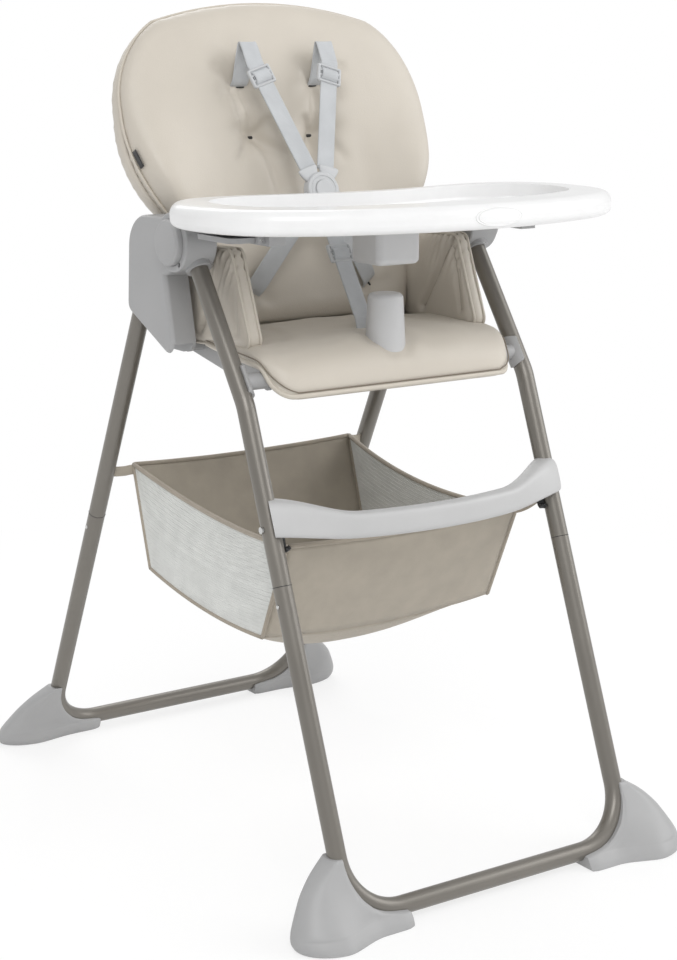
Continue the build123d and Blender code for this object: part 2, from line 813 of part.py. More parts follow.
def seat_cushion():
    """Padded seat with a rolled front lip over the seat shell's front edge."""
    rest = rim_rear + soft_room
    lip = seat_height - cushion_lip
    rear = back_spot(0, -back_thickness / 2)[0]
    front = -cushion_front
    pad = rim_front + soft_room
    rows = [
        (rear, shell_half - 14.0, rest, rest + 5.0, 0.5),
        (seat_corner[0] - 18.0, cushion_half - 4.0, rest - 2.0, cushion_edge, cushion_crown),
        (-wing_front - 6.0, cushion_half, pad + 2.0, cushion_edge, cushion_crown),
        (-shell_front + 8.0, cushion_half - 3.0, pad, cushion_edge - 14.0, cushion_crown),
        (-shell_front - 1.0, cushion_half - 7.0, lip + 2.0, cushion_edge - 20.0, cushion_crown),
        (front + 7.0, cushion_half - 13.0, lip, cushion_edge - 29.0, cushion_crown * 0.7),
        (front, cushion_half - 26.0, lip + 6.0, cushion_edge - 40.0, cushion_crown * 0.3),
    ]
    body = loft([cushion_section(*row) for row in rows], ruled=True)
    grown = offset(seat_profile(0), amount=soft_room)
    body -= side_plate(grown, -shell_half - soft_room, shell_half + soft_room)
    stub_room = side_rod(stub_spot, shell_half, leg_x, (stub_diameter + stub_flange) / 2 + soft_room)
    return cut_both(body - crotch_post(soft_room) - crotch_slot(), [stub_room])


def wing_outline(inset):
    """Side view of a cushion wing: upright panel between seat and back."""
    over = (wing_inner / (cushion_half - edge_fold)) ** 2
    foot = cushion_edge + cushion_crown * (1 - over) + soft_room
    tip = seat_height + wing_height
    gap = soft_room * 1.5
    rear_low = at_height(back_spot(0, gap), back_up, foot)
    rear_high = at_height(back_spot(0, gap), back_up, tip - 4.0)
    face = make_face(Polyline(rear_low, (-wing_front, foot), (-wing_tip_front, tip), rear_high, close=True))
    face = fillet(face.vertices(), wing_round)
    return offset(face, amount=-inset) if inset else face


def cushion_wing():
    """Padded side wing, thinner along its seams."""
    places = [(0.0, 7.0), (0.3, 0.0), (0.7, 0.0), (1.0, 7.0)]
    return loft(
        [Plane.YZ.offset(wing_inner + wing_thickness * share) * wing_outline(inset) for share, inset in places],
        ruled=True,
    )


nodes["seat_cushion"] = seat_cushion()
nodes["back_cushion"] = back_cushion()
pair("cushion_wing", cushion_wing())
nodes["crotch_post"] = crotch_post()


# Harness

def band(start, end, thickness, facing):
    """Flat webbing between two points, its width square to the way it faces."""
    axis = Vector(*end) - Vector(*start)
    width = axis.cross(Vector(*facing))
    place = Plane(origin=start, x_dir=width, z_dir=axis)
    return extrude(place * Rectangle(strap_width, thickness), amount=axis.length)


def webbing(points, radii):
    """Flat webbing along a path in the side view, at a lateral place."""
    path = FilletPolyline(*points, radius=radii)
    section = Plane(origin=path @ 0, x_dir=(1, 0, 0), z_dir=path % 0) * Rectangle(strap_width, strap_thickness)
    return sweep(section, path=path)


forward = (0, -cos(lean), sin(lean))
slot_x = shoulder_slot_spacing / 2
loop_x = slot_x - loop_inset
loop_front = loop_foot + loop_gap
loop_last = from_back(slot_x, shoulder_slot_up + loop_end, loop_front)
shoulder_first = from_back(loop_x, shoulder_slot_up + loop_end, loop_front)
shoulder_last = from_back(*buckle_edge(shoulder_attach, buckle_diameter / 4))
waist_first = from_back(*waist_start, strap_thickness)
waist_last = from_back(*buckle_edge(waist_attach, buckle_diameter / 4))
crotch_first = from_back(*buckle_edge(180.0))
crotch_turn = (0, -crotch_slot_ahead, cushion_edge + cushion_crown + 4.0)
anchor_gap = anchor_diameter / 2 + push_room


def buckle_place(forward_of_middle):
    """Place on the buckle's axis, a distance forward of its middle."""
    return back_plane * Pos(0, buckle_local[1], buckle_local[2] + forward_of_middle)


def buckle_room():
    """Space that the straps leave to the buckle."""
    face = buckle_place(-buckle_thickness) * Circle(buckle_diameter / 2 + soft_room)
    return extrude(face, amount=buckle_thickness * 2)


def shoulder_strap():
    """Shoulder strap: through its slot, up in a loop and down to the buckle."""
    top = shoulder_slot_up + loop_rise
    points = [
        from_back(slot_x, shoulder_slot_up, -shell_back - anchor_diameter),
        from_back(slot_x, shoulder_slot_up, loop_foot),
        from_back(slot_x, top, loop_foot),
        from_back(slot_x, top, loop_front),
        loop_last,
    ]
    loop = webbing(points, [loop_foot * 0.8, loop_radius, loop_radius])
    return loop + band(shoulder_first, shoulder_last, strap_thickness * 1.25, forward) - buckle_room()


def waist_strap():
    """Waist strap from its slot to the side of the buckle."""
    tab = back_plane * Pos(*waist_start, -shell_back - anchor_diameter) * Rot(0, 0, waist_turn)
    length = shell_back + anchor_diameter + strap_thickness * 2
    tail = extrude(tab * Rectangle(strap_width, strap_thickness), amount=length)
    return tail + band(waist_first, waist_last, strap_thickness * 1.25, forward) - buckle_room()


def crotch_strap():
    """Crotch strap from the buckle down through the seat."""
    low = (0, -crotch_slot_ahead, pan_floor - anchor_diameter)
    return webbing([crotch_first, crotch_turn, low], [loop_foot])


def adjuster(start, end, reach, facing):
    """Ladder adjuster round a strap, a distance along it."""
    axis = (Vector(*end) - Vector(*start)).normalized()
    width = axis.cross(Vector(*facing))
    place = Plane(origin=Vector(*start) + axis * (reach - adjuster_length / 2), x_dir=width, z_dir=axis)
    inside = strap_width + 2 * adjuster_room
    frame = RectangleRounded(inside + 2 * adjuster_rim, adjuster_thickness, adjuster_thickness * 0.3)
    window = Rectangle(inside, strap_thickness * 1.25 + 2 * adjuster_room)
    return extrude(place * (frame - window), amount=adjuster_length)


def anchor_bars():
    """Bars behind the shells that keep the straps from pulling out."""
    half = anchor_length / 2
    behind = -shell_back - anchor_gap
    side = strap_thickness / 2 + anchor_gap
    across = radians(waist_turn)
    step = (cos(across) * half, sin(across) * half)
    aside = (waist_start[0] - sin(across) * side, waist_start[1] + cos(across) * side)
    shoulder = rod(
        from_back(slot_x - half, shoulder_slot_up + side, behind),
        from_back(slot_x + half, shoulder_slot_up + side, behind),
        anchor_diameter / 2,
    )
    waist = rod(
        from_back(aside[0] - step[0], aside[1] - step[1], behind),
        from_back(aside[0] + step[0], aside[1] + step[1], behind),
        anchor_diameter / 2,
    )
    crotch = side_rod((-crotch_slot_ahead + side, pan_floor - anchor_gap), -half, half, anchor_diameter / 2)
    return group(*both_sides(shoulder, waist).solids(), crotch)


def buckle_body():
    """Round harness buckle with a recess for its button."""
    half = buckle_thickness / 2
    body = extrude(buckle_place(-half) * Circle(buckle_diameter / 2), amount=buckle_thickness)
    body = fillet(body.edges(), 2.5)
    floor = half - buckle_button_stand * 2 - buckle_travel - soft_room
    recess = buckle_place(floor) * Circle(buckle_button_diameter / 2 + soft_room)
    return body - extrude(recess, amount=buckle_thickness)


def buckle_button():
    """Round release button in the middle of the buckle."""
    foot = buckle_place(buckle_thickness / 2 - buckle_button_stand * 2)
    button = extrude(foot * Circle(buckle_button_diameter / 2), amount=buckle_button_stand * 3)
    return fillet(button.edges().sort_by(Axis.Y)[0], 1.0)


nodes["shoulder_straps"] = both_sides(shoulder_strap())
nodes["waist_straps"] = both_sides(waist_strap())
nodes["crotch_strap"] = crotch_strap()
pair("shoulder_adjuster", adjuster(shoulder_first, shoulder_last, adjuster_at, forward))
nodes["crotch_adjuster"] = adjuster(crotch_first, crotch_turn, crotch_adjuster_at, forward)
nodes["strap_anchors"] = anchor_bars()
nodes["buckle_body"] = buckle_body()
nodes["buckle_button"] = buckle_button()


# Tray

rail_top = tray_under - rail_drop
rail_low = rail_top - rail_height
rail_outer = hub_inner
rail_inner = rail_outer - rail_width
tunnel_low = rail_low - moving_room
tunnel_high = rail_top + moving_room
carrier_rear = hub[0] - hub_radius - 6.0
plate_low = tray_under - bracket_plate
carrier_outer = rail_outer + moving_room + bracket_wall_tray
latch_inner = carrier_outer + moving_room
latch_top = plate_low - moving_room - latch_width * sin(radians(latch_angle)) - 1.0
latch_low = latch_top - latch_thickness
latch_middle = (carrier_rear - bracket_front) / 2
latch_pin = (latch_inner + latch_thickness / 2 + 1.0, latch_low + latch_thickness / 2)
ear_thickness = 5.0
tray_screw_x = carrier_outer + bracket_wing * 0.4
tray_screw_spots = [(tray_screw_x, carrier_rear - 16.0), (tray_screw_x, 16.0 - bracket_front)]


def tray_outline(inset):
    """Plan view of the tray: hollow for the belly, round corners and a bowed front."""
    half = tray_half_width - inset
    rear = -tray_rear_ahead - inset
    front = inset - tray_front_ahead
    deep = rear - front
    right = Spline(
        (0, rear - tray_belly),
        (half * 0.34, rear - tray_belly * 0.55),
        (half * 0.64, rear),
        (half * 0.87, rear - deep * 0.06),
        (half * 0.98, rear - deep * 0.22),
        (half, rear - deep * 0.41),
        (half * 0.94, front + deep * 0.35),
        (half * 0.77, front + deep * 0.18),
        (half * 0.42, front + deep * 0.05),
        (0, front),
        tangents=[(1, 0), (-1, 0)],
    )
    return make_face([right, mirror(right, about=Plane.YZ)])


def tray():
    """Tray with a rounded hollow rim and a flat floor."""
    body = extrude(Pos(0, 0, tray_under) * tray_outline(0), amount=tray_thickness)
    body = fillet(body.edges().group_by(Axis.Z)[0], tray_round_low)
    body = fillet(body.edges().group_by(Axis.Z)[-1], tray_round)
    place = Pos(0, tray_rim_width / 4, tray_under)
    inside = place * Pos(0, 0, tray_floor) * tray_outline(tray_rim_width * 0.75)
    hollow = extrude(inside, amount=tray_thickness)
    hollow = fillet(hollow.edges().group_by(Axis.Z)[0], tray_floor * 0.6)
    outside = Pos(0, 0, tray_under) * tray_outline(tray_round_low + shell_wall)
    channel = extrude(outside, amount=tray_thickness - shell_wall)
    channel -= extrude(place * tray_outline(tray_rim_width * 0.75 - shell_wall), amount=tray_thickness)
    return cut_both(body - hollow - channel, [tray_screw(spot, push_room) for spot in tray_screw_spots])


def tray_screw(spot, room=0.0):
    """Screw from the bracket's plate up into the tray, or its room."""
    foot = (*spot, plate_low)
    shank = rod(foot, (*spot, tray_under + tray_floor * 0.6 + room), screw_diameter / 2 + room)
    head = rod((*spot, plate_low - screw_head), foot, screw_head_diameter / 2)
    return shank if room else shank + head


def tray_rail():
    """Rail on the inner face of the hub."""
    rail = block(rail_inner, rail_outer, -rail_ahead, hub[0] + hub_radius * 0.6, rail_low, rail_top)
    return fillet(rail.edges().filter_by(Axis.Y), 2.0)


def latch_pivot(radius, y0, y1):
    """Bar along the latch's axis."""
    return rod((latch_pin[0], y0, latch_pin[1]), (latch_pin[0], y1, latch_pin[1]), radius)


ear_reach = latch_length / 2 + moving_room
ear_y = [latch_middle - ear_reach - ear_thickness, latch_middle + ear_reach]


def tray_bracket():
    """Bracket under the tray: tunnel for the rail, plate for the screws, ears for the latch."""
    tunnel_wall = rail_inner - moving_room - bracket_wall_tray
    under = tunnel_low - bracket_wall_tray
    body = block(tunnel_wall, carrier_outer, -bracket_front, carrier_rear, under, tray_under)
    outside = carrier_outer + bracket_wing
    plate = block(carrier_outer - 1, outside, -bracket_front, carrier_rear, plate_low, tray_under)
    plate = fillet(plate.edges().filter_by(Axis.Z).group_by(Axis.X)[-1], 18.0)
    body += plate
    for start in ear_y:
        end = start + ear_thickness
        body += block(carrier_outer - 1, latch_pin[0] + 5.0, start, end, latch_low - 1.0, plate_low + 1)
    tunnel_front = -rail_ahead - moving_room * 8
    sides = (rail_inner - moving_room, rail_outer + moving_room)
    body -= block(*sides, tunnel_front, carrier_rear + 1, tunnel_low, tunnel_high)
    body -= latch_pivot(latch_pin_diameter / 2 + running_room, ear_y[0], ear_y[1] + ear_thickness)
    for spot in tray_screw_spots:
        body -= tray_screw(spot, push_room)
    return body


def tray_latch():
    """Squeeze lever under the tray's side."""
    y0 = latch_middle - latch_length / 2
    y1 = latch_middle + latch_length / 2
    paddle = block(latch_pin[0], latch_inner + latch_width, y0, y1, latch_low, latch_top)
    paddle = fillet(paddle.edges().filter_by(Axis.Z).group_by(Axis.X)[-1], 14.0)
    barrel = latch_pivot(latch_thickness / 2 + 0.8, y0, y1)
    return paddle + barrel - latch_pivot(latch_pin_diameter / 2 + running_room, y0 - 1, y1 + 1)


def tray_divider():
    """Hollow box under the tray between the child's legs."""
    half = divider_width / 2
    deep = divider_depth / 2
    low = tray_under - divider_height
    body = block(-half, half, -divider_ahead - deep, -divider_ahead + deep, low, tray_under)
    body = fillet(body.edges().filter_by(Axis.Z), divider_round)
    body = fillet(body.edges().group_by(Axis.Z)[0], divider_round * 0.8)
    wall = shell_wall
    front = wall - divider_ahead - deep
    rear = deep - wall - divider_ahead
    hollow = block(wall - half, half - wall, front, rear, low + wall, tray_under)
    return body - fillet(hollow.edges().filter_by(Axis.Z), divider_round - wall)


nodes["tray"] = tray()
nodes["tray_divider"] = tray_divider()
nodes["tray_rails"] = both_sides(tray_rail())
pair("tray_bracket", tray_bracket())
pair("tray_latch", tray_latch())
nodes["latch_pins"] = both_sides(latch_pivot(latch_pin_diameter / 2, ear_y[0], ear_y[1] + ear_thickness))
nodes["tray_screws"] = both_sides(*[tray_screw(spot) for spot in tray_screw_spots])


# Footrest

def footrest():
    """Bowed bar between the front legs whose ends hold them from the inner side."""
    path = ThreePointArc(
        (-leg_x, *footrest_spot),
        (0, footrest_spot[0] - footrest_bow, footrest_spot[1]),
        (leg_x, *footrest_spot),
    )
    section = RectangleRounded(footrest_deep, footrest_tall, footrest_deep * 0.35)
    start = Plane(origin=path @ 0, x_dir=Vector(0, 0, 1).cross(path % 0), z_dir=path % 0)
    body = sweep(start * section, path=path)
    half = footrest_sleeve / 2
    sleeve = leg_rod(footrest_spot, front_low_up, -half, half, tube_radius + footrest_wall)
    sleeve -= block(leg_x, leg_x * 2, -stance, 0, 0, seat_height)
    bore = leg_rod(footrest_spot, front_low_up, -half * 2, half * 2, tube_radius + push_room)
    body = body + sleeve + mirror(sleeve, about=Plane.YZ)
    return cut_both(body, [bore, footrest_screw(push_room)])


nodes["footrest"] = footrest()
nodes["footrest_screws"] = both_sides(footrest_screw())


# Basket

def panel(first, last, thickness_out):
    """Flat cloth panel across the chair between two edges of the side view."""
    way = toward(first, last)
    normal = (-way[1] * thickness_out, way[0] * thickness_out)
    outline = Polyline(first, last, along(last, normal, cloth), along(first, normal, cloth), close=True)
    return side_plate(make_face(outline), -basket_half_width, basket_half_width)


def basket_side():
    """Mesh side of the basket."""
    corners = [basket_rear_top, basket_front_top, basket_front_foot, basket_rear_foot]
    inner = basket_half_width + push_room
    return side_plate(make_face(Polyline(*corners, close=True)), inner, inner + cloth)


def base_section(place, sag):
    """Section of the sagging basket floor at a lateral place."""
    front = along(basket_front_foot, toward(basket_front_foot, basket_rear_foot), cloth * 2)
    rear = along(basket_rear_foot, toward(basket_rear_foot, basket_front_foot), cloth * 2)
    middle = ((front[0] + rear[0]) / 2, (front[1] + rear[1]) / 2 - sag)
    lower = [(point[0], point[1] - cloth) for point in (front, middle, rear)]
    outline = [
        ThreePointArc(front, middle, rear),
        Line(rear, lower[2]),
        ThreePointArc(lower[2], lower[1], lower[0]),
        Line(lower[0], front),
    ]
    return Plane.YZ.offset(place) * make_face(outline)


def basket_base():
    """Sagging floor of the basket."""
    shares = [(-1.0, 0.16), (-0.75, 0.72), (-0.4, 0.95), (0.0, 1.0), (0.4, 0.95), (0.75, 0.72), (1.0, 0.16)]
    return loft([base_section(basket_half_width * place, basket_sag * sag) for place, sag in shares], ruled=True)


def basket_front_clip():
    """Clip that hangs the basket's front panel on the front leg."""
    high = basket_front_top[1] - hook_size / 2
    low = high - hook_size
    inner = basket_half_width - hook_size
    down = toward(basket_front_top, basket_front_foot)
    leg = at_height(front_bar, front_low_up, (low + high) / 2)
    edge = [at_height(basket_front_top, down, height) for height in (low - hook_size, high + hook_size)]
    rear = basket_front_foot[0]
    behind = make_face(Polyline(edge[0], edge[1], (rear, edge[1][1]), (rear, edge[0][1]), close=True))
    body = block(inner, leg_x, leg[0] - hook_size / 2, leg[0] + hook_size / 2, low, high)
    body += block(inner, basket_half_width, leg[0], rear, low, high)
    body -= side_plate(behind, inner - 1, basket_half_width + 1)
    return body - leg_rod(leg, front_low_up, -hook_size * 4, hook_size * 4, tube_radius + push_room)


def basket_rear_strap():
    """Short strap that ties the basket's rear corner to the rear leg."""
    height = basket_rear_top[1]
    leg = at_height(rear_bar, rear_up, height)
    first = basket_half_width + push_room + cloth + moving_room
    body = block(first, leg_x, leg[0] - 2.0, leg[0] + 2.0, height - clip_size, height)
    ring = leg_rod(leg, rear_up, -clip_size, 0, tube_radius + 1.5)
    return body + ring - leg_rod(leg, rear_up, -60, 60, tube_radius + push_room)


nodes["basket_front_panel"] = panel(basket_front_top, basket_front_foot, 1)
nodes["basket_rear_panel"] = panel(basket_rear_top, basket_rear_foot, -1)
nodes["basket_base"] = basket_base()
pair("basket_mesh", basket_side())
nodes["basket_front_clips"] = both_sides(basket_front_clip())
nodes["basket_rear_straps"] = both_sides(basket_rear_strap())

os.makedirs("parts", exist_ok=True)
for name, shape in nodes.items():
    export_step(shape, f"parts/{name}.step")
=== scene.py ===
"""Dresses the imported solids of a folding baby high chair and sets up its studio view.

Everything is in metres in the chair's own frame: +Z is up, the child looks towards -Y and the
origin is on the floor under the middle of the chair.
"""

from __future__ import annotations

import logging
import math
from dataclasses import dataclass, field
from enum import Enum
from typing import Callable, Sequence

import bmesh
import bpy
from mathutils import Matrix, Vector, bvhtree, noise

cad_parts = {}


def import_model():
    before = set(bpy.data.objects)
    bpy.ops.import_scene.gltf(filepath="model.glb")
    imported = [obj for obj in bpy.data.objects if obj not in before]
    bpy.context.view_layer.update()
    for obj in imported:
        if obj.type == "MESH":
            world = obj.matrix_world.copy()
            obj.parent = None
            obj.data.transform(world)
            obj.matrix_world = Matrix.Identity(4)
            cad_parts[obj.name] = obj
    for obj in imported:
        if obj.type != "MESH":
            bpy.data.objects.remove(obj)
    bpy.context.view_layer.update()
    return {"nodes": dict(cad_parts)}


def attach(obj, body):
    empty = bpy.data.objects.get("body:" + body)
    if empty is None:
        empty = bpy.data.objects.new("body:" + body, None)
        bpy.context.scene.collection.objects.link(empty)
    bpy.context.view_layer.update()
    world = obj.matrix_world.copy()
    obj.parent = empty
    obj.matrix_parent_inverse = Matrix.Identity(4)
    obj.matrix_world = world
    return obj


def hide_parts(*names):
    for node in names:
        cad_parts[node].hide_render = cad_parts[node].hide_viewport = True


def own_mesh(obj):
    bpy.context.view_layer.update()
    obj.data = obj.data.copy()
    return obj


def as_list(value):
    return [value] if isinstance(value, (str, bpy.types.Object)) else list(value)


LOG = logging.getLogger("high_chair")
MM = 0.001
PIPING_RADIUS = 1.9 * MM
SEAM_RADIUS = 0.8 * MM
Pair = tuple[float, float]
Triple = tuple[float, float, float]
Colour = Triple
Plan = list[Pair]
Piece = bpy.types.Object
Socket = bpy.types.NodeSocket


class Body(Enum):
    """Rigid bodies of the chair that dressed pieces ride on."""

    CHAIR = "chair"
    REAR_FRAME = "rear_frame"
    TRAY = "tray"
    CROTCH_ADJUSTER = "crotch_adjuster"
    SHOULDER_LEFT = "shoulder_adjuster_left"
    SHOULDER_RIGHT = "shoulder_adjuster_right"


class Slot(Enum):
    """Material slots of the record."""

    LEATHERETTE = "leatherette"
    WEBBING = "webbing"
    BUCKLE = "buckle_plastic"
    CLOTH = "basket_cloth"
    NET = "basket_net"
    BLACK = "black_plastic"
    GREY = "grey_plastic"
    FOOTREST = "footrest_plastic"
    TRAY = "tray_plastic"


class Side(Enum):
    """Side of the chair seen from the front."""

    LEFT = -1
    RIGHT = 1

    @property
    def tag(self) -> str:
        """Ending of a piece's name on this side."""
        return self.name.lower()


def point(x: float, y: float, z: float) -> Vector:
    """Place in metres from millimetres."""
    return Vector((x * MM, y * MM, z * MM))


def ease(value: float) -> float:
    """Smooth step of a share between 0 and 1."""
    share = min(1.0, max(0.0, value))
    return share * share * (3.0 - 2.0 * share)


def bell(distance: float, width: float) -> float:
    """Height of a bell curve at a distance from its middle."""
    return math.exp(-((distance / width) ** 2))


def mix(first: float, last: float, share: float) -> float:
    """Value between two others."""
    return first + (last - first) * share


def through(points: Sequence[Vector], steps: int) -> list[Vector]:
    """Smooth run through points.

    Args:
        points: The places that the run passes.
        steps: Samples between two places.

    Returns:
        The sampled run, ends included.
    """
    padded = [points[0] * 2 - points[1], *points, points[-1] * 2 - points[-2]]
    run: list[Vector] = []
    for index in range(1, len(padded) - 2):
        a, b, c, d = padded[index - 1 : index + 3]
        rise, bend, twist = c - a, a * 2 - b * 5 + c * 4 - d, b * 3 - a - c * 3 + d
        for step in range(steps):
            t = step / steps
            run.append((b * 2 + rise * t + bend * t * t + twist * t**3) * 0.5)
    run.append(points[-1].copy())
    return run


def off_line(x: float, y: float, line: Sequence[Pair]) -> float:
    """Distance of a point from a bent line in the plane."""
    best = 1e9
    for (x0, y0), (x1, y1) in zip(line, line[1:]):
        run = (x1 - x0) ** 2 + (y1 - y0) ** 2
        share = min(1.0, max(0.0, ((x - x0) * (x1 - x0) + (y - y0) * (y1 - y0)) / run))
        best = min(best, math.hypot(x - mix(x0, x1, share), y - mix(y0, y1, share)))
    return best


def turns(count: int) -> list[float]:
    """Even angles round a circle."""
    return [step * math.tau / count for step in range(count)]


def squared(value: float, power: float) -> float:
    """Sine or cosine bent towards a squarer section."""
    return math.copysign(abs(value) ** power, value)


class NodeSheet:
    """Shader nodes of one material."""

    def __init__(self, name: str) -> None:
        """Start a material with a plain shader.

        Args:
            name: Name of the material.
        """
        self.material = bpy.data.materials.new(name)
        self.material.use_nodes = True
        self.tree = self.material.node_tree
        self.shader = self.tree.nodes["Principled BSDF"]

    def add(self, kind: str, **settings: object) -> bpy.types.Node:
        """Add a node.

        Args:
            kind: Blender's type of the node.
            settings: Its properties, or its inputs where the name starts with in_.

        Returns:
            The new node.
        """
        node = self.tree.nodes.new(kind)
        for key, value in settings.items():
            if key.startswith("in_"):
                node.inputs[key[3:].replace("_", " ")].default_value = value
            else:
                setattr(node, key, value)
        return node

    def link(self, start: Socket, end: Socket) -> None:
        """Join two sockets."""
        self.tree.links.new(start, end)

    def place(self, kind: str) -> Socket:
        """Coordinates of the surface, by their name."""
        return self.add("ShaderNodeTexCoord").outputs[kind]

    def speckle(self, where: Socket, scale: float, detail: float = 3.0) -> Socket:
        """Noise at a scale per metre."""
        node = self.add("ShaderNodeTexNoise", in_Scale=scale, in_Detail=detail)
        self.link(where, node.inputs["Vector"])
        return node.outputs["Fac"]

    def dye(self, share: Socket, colour: Colour, *stops: Pair) -> None:
        """Base colour made darker and lighter along a share.

        Args:
            share: What the colour follows.
            colour: The plain colour.
            stops: Two positions on the share, each with its factor of the colour.
        """
        ramp = self.add("ShaderNodeValToRGB")
        for element, (position, factor) in zip(ramp.color_ramp.elements, stops):
            element.position = position
            element.color = (*(min(1.0, channel * factor) for channel in colour), 1.0)
        self.link(share, ramp.inputs["Fac"])
        self.link(ramp.outputs["Color"], self.shader.inputs["Base Color"])

    def gloss(self, share: Socket, low: float, high: float) -> None:
        """Roughness spread over a range along a share."""
        node = self.add("ShaderNodeMapRange", in_To_Min=low, in_To_Max=high)
        self.link(share, node.inputs["Value"])
        self.link(node.outputs["Result"], self.shader.inputs["Roughness"])

    def sum(self, first: Socket, last: Socket, weight: float) -> Socket:
        """First value plus a weight of the last."""
        node = self.add("ShaderNodeMath", operation="MULTIPLY_ADD")
        self.link(last, node.inputs[0])
        node.inputs[1].default_value = weight
        self.link(first, node.inputs[2])
        return node.outputs["Value"]

    def relief(self, height: Socket, strength: float, depth: float) -> None:
        """Bump of the surface from a height."""
        node = self.add("ShaderNodeBump", in_Strength=strength, in_Distance=depth)
        self.link(height, node.inputs["Height"])
        self.link(node.outputs["Normal"], self.shader.inputs["Normal"])

    def set(self, **values: object) -> None:
        """Set the shader's own sockets by name, with _ for a space."""
        for key, value in values.items():
            self.shader.inputs[key.replace("_", " ")].default_value = value


@dataclass(frozen=True)
class PaintedTube:
    """Satin metallic paint of the leg tubes."""

    name: str = "tube_paint"
    colour: Colour = (0.185, 0.172, 0.152)

    def material(self) -> bpy.types.Material:
        """Build the paint with a fine flake and a faint drift in gloss."""
        sheet = NodeSheet(self.name)
        where = sheet.place("Object")
        flake = sheet.speckle(where, 1500.0, 2.0)
        drift = sheet.speckle(where, 9.0)
        tone = sheet.sum(drift, flake, 0.25)
        sheet.dye(tone, self.colour, (0.35, 0.93), (0.85, 1.08))
        sheet.gloss(drift, 0.30, 0.42)
        sheet.relief(flake, 0.05, 0.0004)
        sheet.set(Metallic=0.45, Coat_Weight=0.2, Coat_Roughness=0.3)
        return sheet.material


@dataclass(frozen=True)
class MouldedPlastic:
    """Moulded plastic with a fine spark-eroded grain."""

    name: str
    colour: Colour
    roughness: float = 0.42
    grain: float = 0.10
    coat: float = 0.0

    def material(self) -> bpy.types.Material:
        """Build the plastic with flow marks, handling marks and grain."""
        sheet = NodeSheet(self.name)
        where = sheet.place("Object")
        flow = sheet.speckle(where, 14.0, 4.0)
        marks = sheet.speckle(where, 90.0, 5.0)
        tone = sheet.sum(flow, marks, 0.3)
        sheet.dye(tone, self.colour, (0.35, 0.965), (0.9, 1.03))
        sheet.gloss(marks, self.roughness - 0.06, self.roughness + 0.08)
        sheet.relief(sheet.speckle(where, 1900.0, 1.5), self.grain, 0.0003)
        sheet.set(Coat_Weight=self.coat, Coat_Roughness=0.12)
        return sheet.material


@dataclass(frozen=True)
class Leatherette:
    """Coated cloth of the cushions with a soft pebble grain."""

    name: str = "cushion_leatherette"
    colour: Colour = (0.55, 0.506, 0.44)

    def material(self) -> bpy.types.Material:
        """Build the cover with pebble grain, fine creases and a faint sheen."""
        sheet = NodeSheet(self.name)
        where = sheet.place("Object")
        pebble = sheet.add("ShaderNodeTexVoronoi", in_Scale=720.0, feature="SMOOTH_F1")
        sheet.link(where, pebble.inputs["Vector"])
        crease = sheet.speckle(where, 42.0, 5.0)
        drift = sheet.speckle(where, 6.0)
        tone = sheet.sum(drift, crease, 0.25)
        sheet.dye(tone, self.colour, (0.35, 0.955), (0.85, 1.035))
        sheet.gloss(crease, 0.40, 0.54)
        height = sheet.sum(pebble.outputs["Distance"], crease, 1.6)
        sheet.relief(height, 0.16, 0.0007)
        sheet.set(Sheen_Weight=0.08, Sheen_Roughness=0.5)
        return sheet.material


@dataclass(frozen=True)
class Weave:
    """Woven cloth: webbing on its own run, canvas on the surface's place."""

    name: str
    colour: Colour
    pitch: float
    on_run: bool = False
    roughness: float = 0.8

    def material(self) -> bpy.types.Material:
        """Build the cloth with crossing threads and a drift in its dye."""
        sheet = NodeSheet(self.name)
        where = sheet.place("UV" if self.on_run else "Object")
        threads = []
        for axis in ("X", "Y") if self.on_run else ("X", "Z"):
            wave = sheet.add("ShaderNodeTexWave", bands_direction=axis, in_Scale=0.314 / self.pitch)
            sheet.link(where, wave.inputs["Vector"])
            threads.append(wave.outputs["Fac"])
        height = sheet.sum(threads[0], threads[1], 1.0)
        drift = sheet.speckle(sheet.place("Object"), 40.0, 4.0)
        tone = sheet.sum(drift, height, 0.18)
        sheet.dye(tone, self.colour, (0.35, 0.88), (1.0, 1.06))
        sheet.relief(height, 0.35, 0.0004)
        sheet.set(Roughness=self.roughness, Sheen_Weight=0.15, Sheen_Roughness=0.6)
        return sheet.material


@dataclass(frozen=True)
class BrightSteel:
    """Plated steel of pins and screws."""

    name: str = "plated_steel"
    colour: Colour = (0.62, 0.62, 0.61)

    def material(self) -> bpy.types.Material:
        """Build the plating with fine scratches."""
        sheet = NodeSheet(self.name)
        scratch = sheet.speckle(sheet.place("Object"), 700.0, 4.0)
        sheet.dye(scratch, self.colour, (0.3, 0.9), (0.8, 1.0))
        sheet.gloss(scratch, 0.2, 0.36)
        sheet.set(Metallic=1.0)
        return sheet.material


